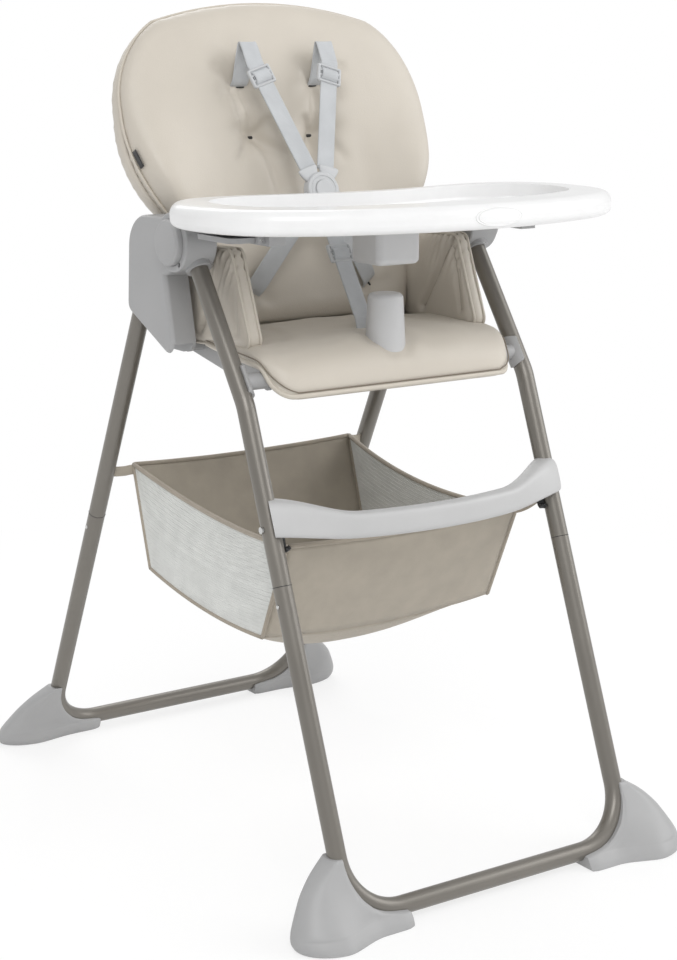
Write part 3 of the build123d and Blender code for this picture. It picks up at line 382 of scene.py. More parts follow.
class Wardrobe:
    """All finishes of the chair, each built once."""

    def __init__(self) -> None:
        """Build every material."""
        self.paint = PaintedTube().material()
        self.grey = MouldedPlastic("grey_plastic", (0.36, 0.36, 0.362)).material()
        self.dark_grey = MouldedPlastic("back_board_plastic", (0.34, 0.34, 0.35), 0.5).material()
        self.footrest = MouldedPlastic("footrest_plastic", (0.48, 0.48, 0.48), 0.4).material()
        self.tray = MouldedPlastic("tray_plastic", (0.78, 0.78, 0.78), 0.3, 0.03, 0.25).material()
        self.post = MouldedPlastic("post_plastic", (0.52, 0.52, 0.522)).material()
        self.buckle = MouldedPlastic("buckle_plastic", (0.50, 0.51, 0.52), 0.36).material()
        self.black = MouldedPlastic("black_plastic", (0.02, 0.02, 0.021), 0.45).material()
        self.leatherette = Leatherette().material()
        self.piping = Leatherette("piping_leatherette", (0.55, 0.505, 0.435)).material()
        # The darker leatherette on the next line is painted shade for the wing's seam and fold creases.
        self.seam = Leatherette("crease_shade_leatherette", (0.40, 0.36, 0.30)).material()
        self.thread = Weave("seam_thread", (0.20, 0.165, 0.125), 0.0012).material()
        self.webbing = Weave("harness_webbing", (0.50, 0.515, 0.53), 0.0016, True).material()
        self.canvas = Weave("basket_canvas", (0.40, 0.357, 0.293), 0.0011).material()
        self.binding = Weave("basket_binding", (0.36, 0.315, 0.255), 0.0014).material()
        self.net = Weave("net_thread", (0.68, 0.69, 0.665), 0.0009).material()
        self.tape = Weave("black_tape", (0.03, 0.03, 0.032), 0.0009, True).material()
        self.steel = BrightSteel().material()


class Shaper:
    """Makes meshes from rows of points."""

    @staticmethod
    def grid(
        name: str, rows: Sequence[Sequence[Vector]], round_rows: bool = False, caps: bool = False
    ) -> Piece:
        """Quad mesh over rows of points.

        Args:
            name: Name of the piece.
            rows: Rows with the same number of points each.
            round_rows: Whether each row closes on itself.
            caps: Whether the first and last rows are filled.

        Returns:
            The new object, with its run in metres as UVs.
        """
        mesh = bpy.data.meshes.new(name)
        made = bmesh.new()
        uv = made.loops.layers.uv.new("run")
        verts = [[made.verts.new(spot) for spot in row] for row in rows]
        count = len(rows[0])
        along = [0.0]
        for first, last in zip(rows, rows[1:]):
            along.append(along[-1] + (last[0] - first[0]).length)
        across = [0.0]
        for index in range(1, count + 1):
            across.append(across[-1] + (rows[0][index % count] - rows[0][index - 1]).length)
        for row in range(len(rows) - 1):
            for column in range(count if round_rows else count - 1):
                after = (column + 1) % count
                corners = (
                    (row, column, column),
                    (row, after, column + 1),
                    (row + 1, after, column + 1),
                    (row + 1, column, column),
                )
                face = made.faces.new([verts[r][c] for r, c, _ in corners])
                face.smooth = True
                for loop, (r, _, c) in zip(face.loops, corners):
                    loop[uv].uv = (across[c], along[r])
        if caps:
            made.faces.new(list(reversed(verts[0]))).smooth = True
            made.faces.new(verts[-1]).smooth = True
        bmesh.ops.recalc_face_normals(made, faces=made.faces)
        made.to_mesh(mesh)
        made.free()
        return Shaper.keep(name, mesh)

    @staticmethod
    def keep(name: str, mesh: bpy.types.Mesh) -> Piece:
        """Put a mesh into the scene as an object."""
        piece = bpy.data.objects.new(name, mesh)
        bpy.context.scene.collection.objects.link(piece)
        return piece

    @staticmethod
    def settle(piece: Piece) -> None:
        """Apply all modifiers of a piece."""
        graph = bpy.context.evaluated_depsgraph_get()
        mesh = bpy.data.meshes.new_from_object(piece.evaluated_get(graph))
        piece.modifiers.clear()
        piece.data = mesh

    @staticmethod
    def soften(piece: Piece, voxel: float, rounds: int) -> None:
        """Remesh a closed piece into even quads and smooth it.

        Args:
            piece: The closed piece.
            voxel: Size of its new faces.
            rounds: Smoothing rounds.
        """
        remesh = piece.modifiers.new("even", "REMESH")
        remesh.mode = "VOXEL"
        remesh.voxel_size = voxel
        remesh.use_smooth_shade = True
        relax = piece.modifiers.new("relax", "SMOOTH")
        relax.factor = 0.5
        relax.iterations = rounds
        Shaper.settle(piece)

    @staticmethod
    def subdivide(piece: Piece) -> None:
        """Add one level of subdivision surface."""
        surface = piece.modifiers.new("surface", "SUBSURF")
        surface.levels = 1
        surface.render_levels = 1

    @staticmethod
    def thicken(piece: Piece, thickness: float, offset: float = 0.0) -> None:
        """Give a sheet its thickness in millimetres, about its face or to one side of it."""
        thick = piece.modifiers.new("thick", "SOLIDIFY")
        thick.thickness = thickness * MM
        thick.offset = offset

    @staticmethod
    def tube(name: str, run: Sequence[Vector], radius: float, closed: bool = False, sides: int = 10) -> Piece:
        """Round piping or cord along a run.

        Args:
            name: Name of the piece.
            run: Points of its middle.
            radius: Its radius.
            closed: Whether it closes on itself.
            sides: Points around it.

        Returns:
            The new object.
        """
        rows: list[list[Vector]] = []
        count = len(run)
        normal: Vector | None = None
        for index, spot in enumerate(run):
            before = run[index - 1] if index or closed else spot
            after = run[(index + 1) % count] if index < count - 1 or closed else spot
            axis = (after - before).normalized()
            if normal is None:
                normal = axis.orthogonal().normalized()
            normal = (normal - axis * normal.dot(axis)).normalized()
            other = axis.cross(normal)
            rows.append(
                [spot + (normal * math.cos(turn) + other * math.sin(turn)) * radius for turn in turns(sides)]
            )
        if closed:
            rows.append(rows[0])
        piece = Shaper.grid(name, rows, round_rows=True, caps=not closed)
        if closed:
            made = bmesh.new()
            made.from_mesh(piece.data)
            bmesh.ops.remove_doubles(made, verts=made.verts, dist=1e-6)
            made.to_mesh(piece.data)
            made.free()
        return piece

    @staticmethod
    def ribbon(
        name: str, run: Sequence[Vector], widths: Sequence[Vector], width: float, thickness: float
    ) -> Piece:
        """Flat webbing with rolled selvedges.

        Args:
            name: Name of the piece.
            run: Points of its middle.
            widths: Direction across it at each point.
            width: Its width.
            thickness: Its thickness.

        Returns:
            The new object.
        """
        half = width / 2
        edge = thickness * 0.62
        body = thickness / 2
        section = [
            (-half, 0.0),
            (-half + edge * 0.5, edge),
            (-half + edge * 2, edge),
            (-half + edge * 3, body),
            (0.0, body),
            (half - edge * 3, body),
            (half - edge * 2, edge),
            (half - edge * 0.5, edge),
        ]
        section += [(-x, -y) for x, y in section]
        rows: list[list[Vector]] = []
        for index, spot in enumerate(run):
            axis = (run[min(index + 1, len(run) - 1)] - run[max(index - 1, 0)]).normalized()
            across = (widths[index] - axis * widths[index].dot(axis)).normalized()
            out = axis.cross(across)
            rows.append([spot + across * x + out * y for x, y in section])
        return Shaper.grid(name, rows, round_rows=True, caps=True)

    @staticmethod
    def inset(plan: Plan, amount: float) -> Plan:
        """Closed plan moved inwards by an amount."""
        count = len(plan)
        moved: Plan = []
        for index, (x, y) in enumerate(plan):
            x0, y0 = plan[index - 1]
            x1, y1 = plan[(index + 1) % count]
            run = math.hypot(x1 - x0, y1 - y0) or 1.0
            moved.append((x - (y1 - y0) / run * amount, y + (x1 - x0) / run * amount))
        return moved

    @staticmethod
    def pillow(
        name: str, plan: Plan, levels: Sequence[Pair], place: Callable[[float, float, float], Vector]
    ) -> Piece:
        """Closed form from one plan at several heights.

        Args:
            name: Name of the piece.
            plan: Anticlockwise outline.
            levels: Height and inset of each ring, from the lowest.
            place: Point of the chair from plan and height.

        Returns:
            The new object.
        """
        rows = [[place(x, y, height) for x, y in Shaper.inset(plan, amount)] for height, amount in levels]
        return Shaper.grid(name, rows, round_rows=True, caps=True)

    @staticmethod
    def move(piece: Piece, shift: Callable[[Vector, Vector], Vector]) -> None:
        """Move a piece's points by a rule of place and normal."""
        mesh = piece.data
        normals = [vertex.normal.copy() for vertex in mesh.vertices]
        for vertex, normal in zip(mesh.vertices, normals):
            vertex.co = shift(vertex.co.copy(), normal)
        mesh.update()


def arc(first: Pair, middle: Pair, last: Pair, steps: int) -> Plan:
    """Points of an arc through three points, without the last one."""
    (ax, ay), (bx, by), (cx, cy) = first, middle, last
    d = 2 * (ax * (by - cy) + bx * (cy - ay) + cx * (ay - by))
    a2, b2, c2 = ax * ax + ay * ay, bx * bx + by * by, cx * cx + cy * cy
    ox = (a2 * (by - cy) + b2 * (cy - ay) + c2 * (ay - by)) / d
    oy = (a2 * (cx - bx) + b2 * (ax - cx) + c2 * (bx - ax)) / d
    radius = math.hypot(ax - ox, ay - oy)
    start, via, end = (math.atan2(y - oy, x - ox) for x, y in (first, middle, last))
    sweep = (end - start) % math.tau
    if (via - start) % math.tau > sweep:
        sweep -= math.tau
    angles = [start + sweep * step / steps for step in range(steps)]
    return [(ox + radius * math.cos(angle), oy + radius * math.sin(angle)) for angle in angles]


def rounded(corners: Sequence[Pair], radius: float, steps: int) -> Plan:
    """Closed plan with rounded corners and long sides divided."""
    plan: Plan = []
    count = len(corners)

    def shape(index: int) -> tuple[Vector, Vector, Vector, float]:
        here = Vector(corners[index % count])
        back = (Vector(corners[(index - 1) % count]) - here).normalized()
        ahead = (Vector(corners[(index + 1) % count]) - here).normalized()
        return here, back, ahead, back.angle(ahead) / 2

    for index in range(count):
        here, back, ahead, half = shape(index)
        reach = radius / math.tan(half)
        start, end = here + back * reach, here + ahead * reach
        middle = here + (back + ahead).normalized() * (radius / math.sin(half) - radius)
        plan += arc(tuple(start), tuple(middle), tuple(end), steps)
        following, _, _, turn = shape(index + 1)
        stop = following - ahead * (radius / math.tan(turn))
        plan += [tuple(end + (stop - end) * (step / 12)) for step in range(12)]
    return plan


@dataclass
class Recline:
    """The backrest's own frame: across, up its slope and forward of its front."""

    corner_y: float = -7.0
    corner_z: float = 632.0
    degrees: float = 16.5

    def point(self, across: float, up: float, forward: float) -> Vector:
        """Place of the chair from the backrest's frame, from millimetres."""
        lean = math.radians(self.degrees)
        return point(
            across,
            self.corner_y + up * math.sin(lean) - forward * math.cos(lean),
            self.corner_z + up * math.cos(lean) + forward * math.sin(lean),
        )

    def local(self, place: Vector) -> Triple:
        """Across, up and forward in millimetres of a place of the chair."""
        lean = math.radians(self.degrees)
        y, z = place.y / MM - self.corner_y, place.z / MM - self.corner_z
        return place.x / MM, y * math.sin(lean) + z * math.cos(lean), z * math.sin(lean) - y * math.cos(lean)

    @property
    def forward(self) -> Vector:
        """Direction that the backrest faces."""
        lean = math.radians(self.degrees)
        return Vector((0.0, -math.cos(lean), math.sin(lean)))


@dataclass
class Dresser:
    """Gives pieces their finish and body."""

    wardrobe: Wardrobe
    made: list[str] = field(default_factory=list)

    def dress(
        self,
        piece: Piece,
        finish: bpy.types.Material,
        slot: Slot,
        body: Body = Body.CHAIR,
        replaces: Sequence[str] = (),
    ) -> Piece:
        """Finish a piece and let it ride.

        Args:
            piece: The piece.
            finish: Its material.
            slot: The record's slot for its finish; not used.
            body: The body that it moves with.
            replaces: Solids that it stands for.

        Returns:
            The same piece.
        """
        piece.data.materials.clear()
        piece.data.materials.append(finish)
        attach(piece, body.value)
        if replaces:
            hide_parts(*replaces)
        self.made.append(piece.name)
        LOG.info("%s rides on %s", piece.name, body.value)
        return piece


@dataclass(frozen=True)
class Tuft:
    """Strap slot of the back where the padding is drawn in."""

    across: float
    up: float
    depth: float
    width: float
    half: float
    turn: float = 0.0


@dataclass
class BackCushion:
    """Padded back, tufted at its strap slots and piped round its edge."""

    recline: Recline
    half: float = 220.0
    length: float = 404.0
    thickness: float = 32.0
    foot_half: float = 146.0
    waist: Pair = (183.0, 145.0)
    shoulder_drop: float = 134.0
    corner: Pair = (62.0, 23.0)
    corner_via: Pair = (15.0, 73.0)
    board: Pair = (10.0, 16.0)
    wrap_depth: float = 30.0
    wrap_up: float = 163.0
    tab: Pair = (196.0, 226.0)
    tufts: tuple[Tuft, ...] = (
        Tuft(57.0, 297.0, 11.0, 22.0, 14.0),
        Tuft(47.6, 234.7, 15.0, 20.0, 8.0),
        Tuft(87.0, 40.0, 6.0, 20.0, 13.0, 55.6),
    )
    folds: tuple[tuple[Plan, float, float], ...] = (
        ([(52.0, 291.0), (47.0, 262.0), (46.0, 240.0)], 7.5, 8.0),
        ([(68.0, 290.0), (66.0, 262.0), (58.0, 240.0)], 4.5, 5.0),
        ([(41.0, 229.0), (29.0, 205.0), (22.0, 165.0), (21.0, 125.0)], 9.0, 11.0),
        ([(37.0, 231.0), (14.0, 208.0)], 4.5, 5.0),
        ([(39.0, 240.0), (28.0, 252.0)], 4.5, 4.5),
        ([(56.0, 229.0), (76.0, 202.0)], 3.5, 6.5),
        ([(69.0, 301.0), (94.0, 318.0)], 3.5, 6.0),
    )

    def plan(self, bulge: float = 3.0, fall: float = 12.0) -> Plan:
        """Anticlockwise outline in the backrest's frame, its sides bulged between waist and shoulder."""
        shoulder = (self.half, self.length - self.shoulder_drop)
        corner = (self.half - self.corner[0], self.length - self.corner[1])
        via = (self.half - self.corner_via[0], self.length - self.corner_via[1])
        middle = ((self.waist[0] + self.half) / 2 + bulge, (self.waist[1] + shoulder[1]) / 2 - fall)
        right = [(mix(self.foot_half, self.waist[0], s / 16), self.waist[1] * s / 16) for s in range(16)]
        right += arc(self.waist, middle, shoulder, 24)
        right += arc(shoulder, via, corner, 18)
        right += arc(corner, (0.0, self.length), (-corner[0], corner[1]), 40)[:20]
        left = [(-x, y) for x, y in reversed(right)]
        foot = [(mix(-self.foot_half, self.foot_half, s / 30), 0.0) for s in range(1, 30)]
        return right + [(0.0, self.length)] + left + foot

    def outline(self, depth: float) -> Plan:
        """Outline at a depth: full round the board, slimmer at the front."""
        share = ease((depth / self.thickness + 0.78) / 0.5)
        pairs = zip(self.plan(*self.board), self.plan())
        return [(mix(x0, x1, share), mix(y0, y1, share)) for (x0, y0), (x1, y1) in pairs]

    def wrap(self, across: float, up: float, depth: float) -> float:
        """How far the sides of the front come forward round the child, in millimetres."""
        reach = 80.0 if up > self.wrap_up else 62.0
        share = ease((abs(across) / self.half - 0.45) / 0.5) * ease((depth / self.thickness + 0.85) / 0.6)
        return self.wrap_depth * share * bell(up - self.wrap_up, reach)

    def edge(self, inset: float, depth: float) -> list[Vector]:
        """Closed run round the cushion at an inset from its outline and a depth."""
        outline = Shaper.inset(self.outline(depth), inset)
        return [self.recline.point(x, y, depth + self.wrap(x, y, depth)) for x, y in outline]

    def relief(self, across: float, up: float) -> float:
        """Height of the stuffed front over its flat place, in millimetres."""
        side = abs(across)
        crown = 5.0 * (1 - (across / 230.0) ** 2) * (1 - ((up - 210.0) / 230.0) ** 2)
        height = max(0.0, crown)
        for tuft in self.tufts:
            reach = math.hypot((side - tuft.across) * 0.8, up - tuft.up)
            turn = math.atan2(up - tuft.up, side - tuft.across)
            height -= tuft.depth * bell(reach, tuft.width)
            ruffle = 1.5 * math.sin(5.0 * turn + tuft.across)
            height += ruffle * bell(reach - tuft.width * 1.05, tuft.width * 0.55)
        for line, depth, width in self.folds:
            height -= depth * bell(off_line(side, up, line), width)
        wave = noise.noise(Vector((across * 0.011, up * 0.011, 3.7)))
        fine = noise.noise(Vector((across * 0.035, up * 0.028, 9.1)))
        return height + 1.6 * wave + 0.5 * fine

    def build(self, dresser: Dresser) -> None:
        """Make the cushion, its piping, its skirt, its strap slots and its tab."""
        wardrobe = dresser.wardrobe
        t = self.thickness
        levels = [(-t, 10.0), (-t + 3, 4.0), (-t * 0.72, 0.5), (-t * 0.5, 0.0), (-t * 0.36, 0.8)]
        levels += [(-t * 0.22, 5.0), (-t * 0.1, 13.0), (-t * 0.03, 24.0), (0.0, 38.0)]
        rows = []
        for depth, inset in levels:
            plan = Shaper.inset(self.outline(depth), inset)
            rows.append([self.recline.point(x, y, depth) for x, y in plan])
        piece = Shaper.grid("back_cushion_cover", rows, True, True)
        Shaper.soften(piece, 4.5 * MM, 8)
        forward = self.recline.forward

        def stuff(place: Vector, normal: Vector) -> Vector:
            across, up, depth = self.recline.local(place)
            share = ease((depth + t * 0.5) / (t * 0.5)) * ease(max(0.0, normal.dot(forward)) * 1.6)
            rise = self.relief(across, up) * share + self.wrap(across, up, depth)
            return place + forward * (rise * MM)

        Shaper.move(piece, stuff)
        Shaper.subdivide(piece)
        dresser.dress(piece, wardrobe.leatherette, Slot.LEATHERETTE, replaces=["back_cushion"])
        piping = Shaper.tube("back_piping", self.edge(-0.4, -t * 0.62), PIPING_RADIUS, closed=True)
        dresser.dress(piping, wardrobe.piping, Slot.LEATHERETTE)
        self.skirt(dresser)
        for side in Side:
            for number, tuft in enumerate(self.tufts):
                self.slot(dresser, f"back_slot_{number}_{side.tag}", side, tuft)
        low, high = self.tab
        edge = zip(self.edge(-1.4, -t * 0.52), self.plan())
        run = [spot for spot, (x, y) in edge if x < 0 and low <= y <= high]
        tape = Shaper.ribbon("back_tab", run, [forward] * len(run), 9.0 * MM, 1.2 * MM)
        dresser.dress(tape, wardrobe.tape, Slot.BLACK)

    def skirt(self, dresser: Dresser) -> None:
        """Elasticated skirt of the cover round the rim of the back board."""
        t = self.thickness
        levels = [(-0.66 * t, 2.4), (-0.74 * t, 0.2), (-0.84 * t, -0.6), (-t, -0.4)]
        levels += [(-t - 8.0, 1.0), (-t - 15.0, 4.0), (-t - 19.0, 9.0)]
        rows = []
        for depth, inset in levels:
            ring = []
            for index, (x, y) in enumerate(Shaper.inset(self.plan(*self.board), inset)):
                pucker = 0.5 * math.sin(index * 2.3) * ease((-depth - t) / 10.0)
                ring.append(self.recline.point(x * (1 + pucker * 0.004), y, depth))
            rows.append(ring)
        piece = Shaper.grid("back_cover_skirt", rows, round_rows=True)
        around = sum((last - first).length for first, last in zip(rows[3], rows[3][1:] + rows[3][:1]))
        Shaper.thicken(piece, 1.4, -1.0)
        dresser.dress(piece, dresser.wardrobe.leatherette, Slot.LEATHERETTE)

    def slot(self, dresser: Dresser, name: str, side: Side, tuft: Tuft) -> None:
        """Strap slot that the cover is drawn into, with a black plug in its opening as painted shade.

        Args:
            dresser: Finishes the pieces.
            name: Name of the slot.
            side: Side of the chair.
            tuft: The slot's place and size.
        """
        angle = math.radians(-tuft.turn)
        half = tuft.half
        plan = rounded([(-half, -2.2), (half, -2.2), (half, 2.2), (-half, 2.2)], 2.0, 5)
        foot = self.relief(tuft.across, tuft.up) + 0.4

        def spot(x: float, y: float, rise: float) -> Vector:
            return self.recline.point(
                side.value * (tuft.across + x * math.cos(angle) - y * math.sin(angle)),
                tuft.up + x * math.sin(angle) + y * math.cos(angle),
                foot + rise,
            )

        # The black plug paints the shade inside the slot's opening.
        levels = [(-3.0, 0.3), (-0.4, 0.3), (0.2, 0.9)]
        shade_plug = Shaper.pillow(f"{name}_mouth", plan, levels, spot)
        dresser.dress(shade_plug, dresser.wardrobe.black, Slot.BLACK)


@dataclass
class SeatCushion:
    """Padded seat whose front rolls over the edge of the seat pan."""

    rows: tuple[tuple[float, float, float, float, float], ...] = (
        (10.0, 140.0, 615.0, 618.0, 0.5), (2.0, 152.0, 614.4, 624.0, 4.0),
        (-25.0, 172.0, 612.8, 626.5, 7.0), (-80.0, 177.0, 606.5, 626.5, 8.0),
        (-132.0, 178.0, 600.8, 626.0, 8.0), (-156.0, 176.5, 597.5, 621.5, 8.5),
        (-170.0, 172.0, 578.0, 614.5, 9.0), (-181.0, 166.0, 569.5, 605.0, 9.0),
        (-188.5, 157.0, 567.5, 594.0, 7.0), (-191.5, 146.0, 571.0, 584.0, 3.0),
    )
    post: Triple = (0.0, -155.0, 24.5)
    slot_y: float = -112.0
    crease: tuple[Pair, ...] = ((120.0, -118.0), (105.0, -88.0), (100.0, -40.0))

    @staticmethod
    def roll(half: float, rise: float) -> float:
        """Reach of the rolled side of a cross-section, from its half width and half height."""
        return min(12.0, half * 0.2, rise * 1.3)

    def section(self, y: float, half: float, low: float, high: float, crown: float) -> list[Vector]:
        """Closed cross-section with rolled sides and a crowned top."""
        count = 40
        rise = (high - low) / 2
        middle = (high + low) / 2
        roll = self.roll(half, rise)
        flat = half - roll

        def side(way: int) -> list[Vector]:
            angles = [-way * math.pi / 2 + math.pi * step / (count - 1) for step in range(count)]
            return [point(way * flat + roll * math.cos(a), y, middle + rise * math.sin(a)) for a in angles]

        tops = [mix(flat, -flat, step / (count * 2)) for step in range(1, count * 2)]
        top = [point(x, y, high + crown * (1 - (x / flat) ** 2) ** 1.2) for x in tops]
        foot = [point(mix(-flat, flat, step / count), y, low) for step in range(1, count)]
        return side(1) + top + side(-1) + foot

    def dense(self) -> list[tuple[float, ...]]:
        """Rows with more between them."""
        firsts = through([Vector(row[:3]) for row in self.rows], 6)
        lasts = through([Vector((row[3], row[4], 0.0)) for row in self.rows], 6)
        return [(a.x, a.y, a.z, b.x, b.y) for a, b in zip(firsts, lasts)]

    def relief(self, x: float, y: float) -> float:
        """Height of the stuffing over the plain crown, in millimetres."""
        reach = math.hypot(x - self.post[0], y - self.post[1])
        height = -4.5 * bell(reach - self.post[2], 9.0)
        height -= 3.5 * bell(math.hypot(x * 0.6, y - self.slot_y), 15.0)
        turn = math.atan2(y - self.post[1], x - self.post[0])
        height += 1.2 * math.sin(7 * turn) * bell(reach - self.post[2] - 9.0, 8.0)
        height += 2.4 * noise.noise(Vector((x * 0.016, y * 0.02, 1.3)))
        height += 0.7 * noise.noise(Vector((x * 0.05, y * 0.06, 5.9)))
        for side in (-1, 1):
            line = [(side * across, along) for across, along in self.crease]
            height -= 2.2 * bell(off_line(x, y, line), 8.0)
        return height

    def build(self, dresser: Dresser) -> None:
        """Make the seat, its hem and its seam."""
        wardrobe = dresser.wardrobe
        dense = self.dense()
        piece = Shaper.grid("seat_cushion_cover", [self.section(*row) for row in dense], True, True)
        Shaper.soften(piece, 4.5 * MM, 6)

        def stuff(place: Vector, normal: Vector) -> Vector:
            share = ease(max(0.0, normal.z) * 1.4)
            return place + Vector((0, 0, 1)) * (self.relief(place.x / MM, place.y / MM) * share * MM)

        Shaper.move(piece, stuff)
        Shaper.subdivide(piece)
        dresser.dress(piece, wardrobe.leatherette, Slot.LEATHERETTE, replaces=["seat_cushion"])
        self.hem(dresser, "seat_hem", 0.26, -1.0, 3.4 * MM, wardrobe.piping)
        self.hem(dresser, "seat_seam", 0.58, 0.9, SEAM_RADIUS, wardrobe.thread)

    def hem(
        self, dresser: Dresser, name: str, share: float, out: float, radius: float, finish: bpy.types.Material
    ) -> None:
        """Round edge along the sides and the front lip.

        Args:
            dresser: Finishes the piece.
            name: Name of the piece.
            share: Height in the cushion's side, from its underside.
            out: How far it stands out of the side.
            radius: Its radius in metres.
            finish: Its material.
        """
        right: list[Vector] = []
        lift = 2 * share - 1
        for y, half, low, high, _ in self.dense()[8:]:
            roll = self.roll(half, (high - low) / 2)
            x = half - roll + roll * math.sqrt(max(0.0, 1 - lift * lift))
            ahead = out * ease((-150.0 - y) / 36.0)
            right.append(point(x + out, y - ahead, mix(low, high, share)))
        front = right[-1]
        for step in range(1, 6):
            right.append(Vector((front.x * math.cos(step * math.pi / 12), front.y - 1.0 * MM, front.z)))
        left = [Vector((-spot.x, spot.y, spot.z)) for spot in reversed(right)]
        run = right + [Vector((0.0, front.y - 1.2 * MM, front.z))] + left
        dresser.dress(Shaper.tube(name, run, radius, sides=10), finish, Slot.LEATHERETTE)


@dataclass
class SideWing:
    """Upright padded wing between seat and back, with gathered tip."""

    side: Side
    inner: float = 151.0
    outer: float = 177.0
    corners: tuple[Pair, ...] = ((26.0, 612.0), (46.0, 731.5), (-88.0, 736.0), (-134.0, 619.0))
    seam: tuple[Pair, ...] = ((-80.0, 728.0), (-60.0, 692.0), (-22.0, 636.0))
    fold: tuple[Pair, ...] = ((-80.0, 728.0), (-96.0, 680.0), (-104.0, 640.0))
    tip: Pair = (-70.0, 730.0)

    def relief(self, y: float, z: float, inwards: bool) -> float:
        """Depth of seams and gathers, in millimetres, negative into the pad."""
        height = -6.5 * bell(off_line(y, z, self.seam), 4.6)
        height -= 3.0 * bell(off_line(y, z, self.fold), 5.0)
        tip = bell(math.hypot(y - self.tip[0], z - self.tip[1]), 34.0)
        height += 4.2 * tip * math.sin(y * 0.62 + z * 0.22 + (1.0 if inwards else 0.0))
        return height + 1.3 * noise.noise(Vector((y * 0.03, z * 0.03, 7.7 if inwards else 2.1)))

    def stitch(self, dresser: Dresser, mesh: bpy.types.Mesh) -> None:
        """Seam and fold lines laid into the wing's inner face, in a darker leatherette that paints the shade
        of their creases.

        Args:
            dresser: Finishes the seams.
            mesh: The wing's mesh, in place.
        """
        tree = bvhtree.BVHTree.FromPolygons([v.co for v in mesh.vertices], [f.vertices for f in mesh.polygons])
        way = Vector((self.side.value, 0, 0))
        for number, line in enumerate((self.seam, self.fold)):
            spots = through([Vector((*corner, 0.0)) for corner in line], 10)
            hits = [tree.ray_cast(point(self.side.value * 100.0, spot.x, spot.y), way)[0] for spot in spots]
            # These lines are painted shade: darker leatherette along the seam and fold creases.
            name = f"wing_seam_{number}_{self.side.tag}"
            seam = Shaper.tube(name, [hit for hit in hits if hit], SEAM_RADIUS, sides=8)
            dresser.dress(seam, dresser.wardrobe.seam, Slot.LEATHERETTE)

    def build(self, dresser: Dresser) -> None:
        """Make the wing and its piping."""
        wardrobe = dresser.wardrobe
        tag = self.side.tag
        plan = rounded(self.corners[::-1], 13.0, 7)[::-1]
        wide = self.outer - self.inner
        levels = [(0.0, 11.0), (wide * 0.1, 5.5), (wide * 0.28, 1.2), (wide * 0.5, 0.0)]
        levels += [(wide * 0.72, 1.2), (wide * 0.9, 5.5), (wide, 11.0)]

        def spot(y: float, z: float, rise: float) -> Vector:
            return point(self.side.value * (self.inner + rise), y, z)

        piece = Shaper.pillow(f"cushion_wing_cover_{tag}", plan, levels, spot)
        Shaper.soften(piece, 3.0 * MM, 5)

        def stuff(place: Vector, normal: Vector) -> Vector:
            facing = normal.x * self.side.value
            depth = self.relief(place.y / MM, place.z / MM, facing < 0) * ease(abs(facing) * 1.5)
            return place + Vector((self.side.value * math.copysign(1.0, facing), 0, 0)) * (depth * MM)

        Shaper.move(piece, stuff)
        Shaper.subdivide(piece)
        dresser.dress(piece, wardrobe.leatherette, Slot.LEATHERETTE, replaces=[f"cushion_wing_{tag}"])
        self.stitch(dresser, piece.data)
        for number, rise in enumerate((wide * 0.2, wide * 0.8)):
            edge = [spot(y, z, rise) for y, z in Shaper.inset(plan, 2.2)]
            piping = Shaper.tube(f"wing_piping_{number}_{tag}", edge, PIPING_RADIUS, closed=True)
            dresser.dress(piping, wardrobe.piping, Slot.LEATHERETTE)


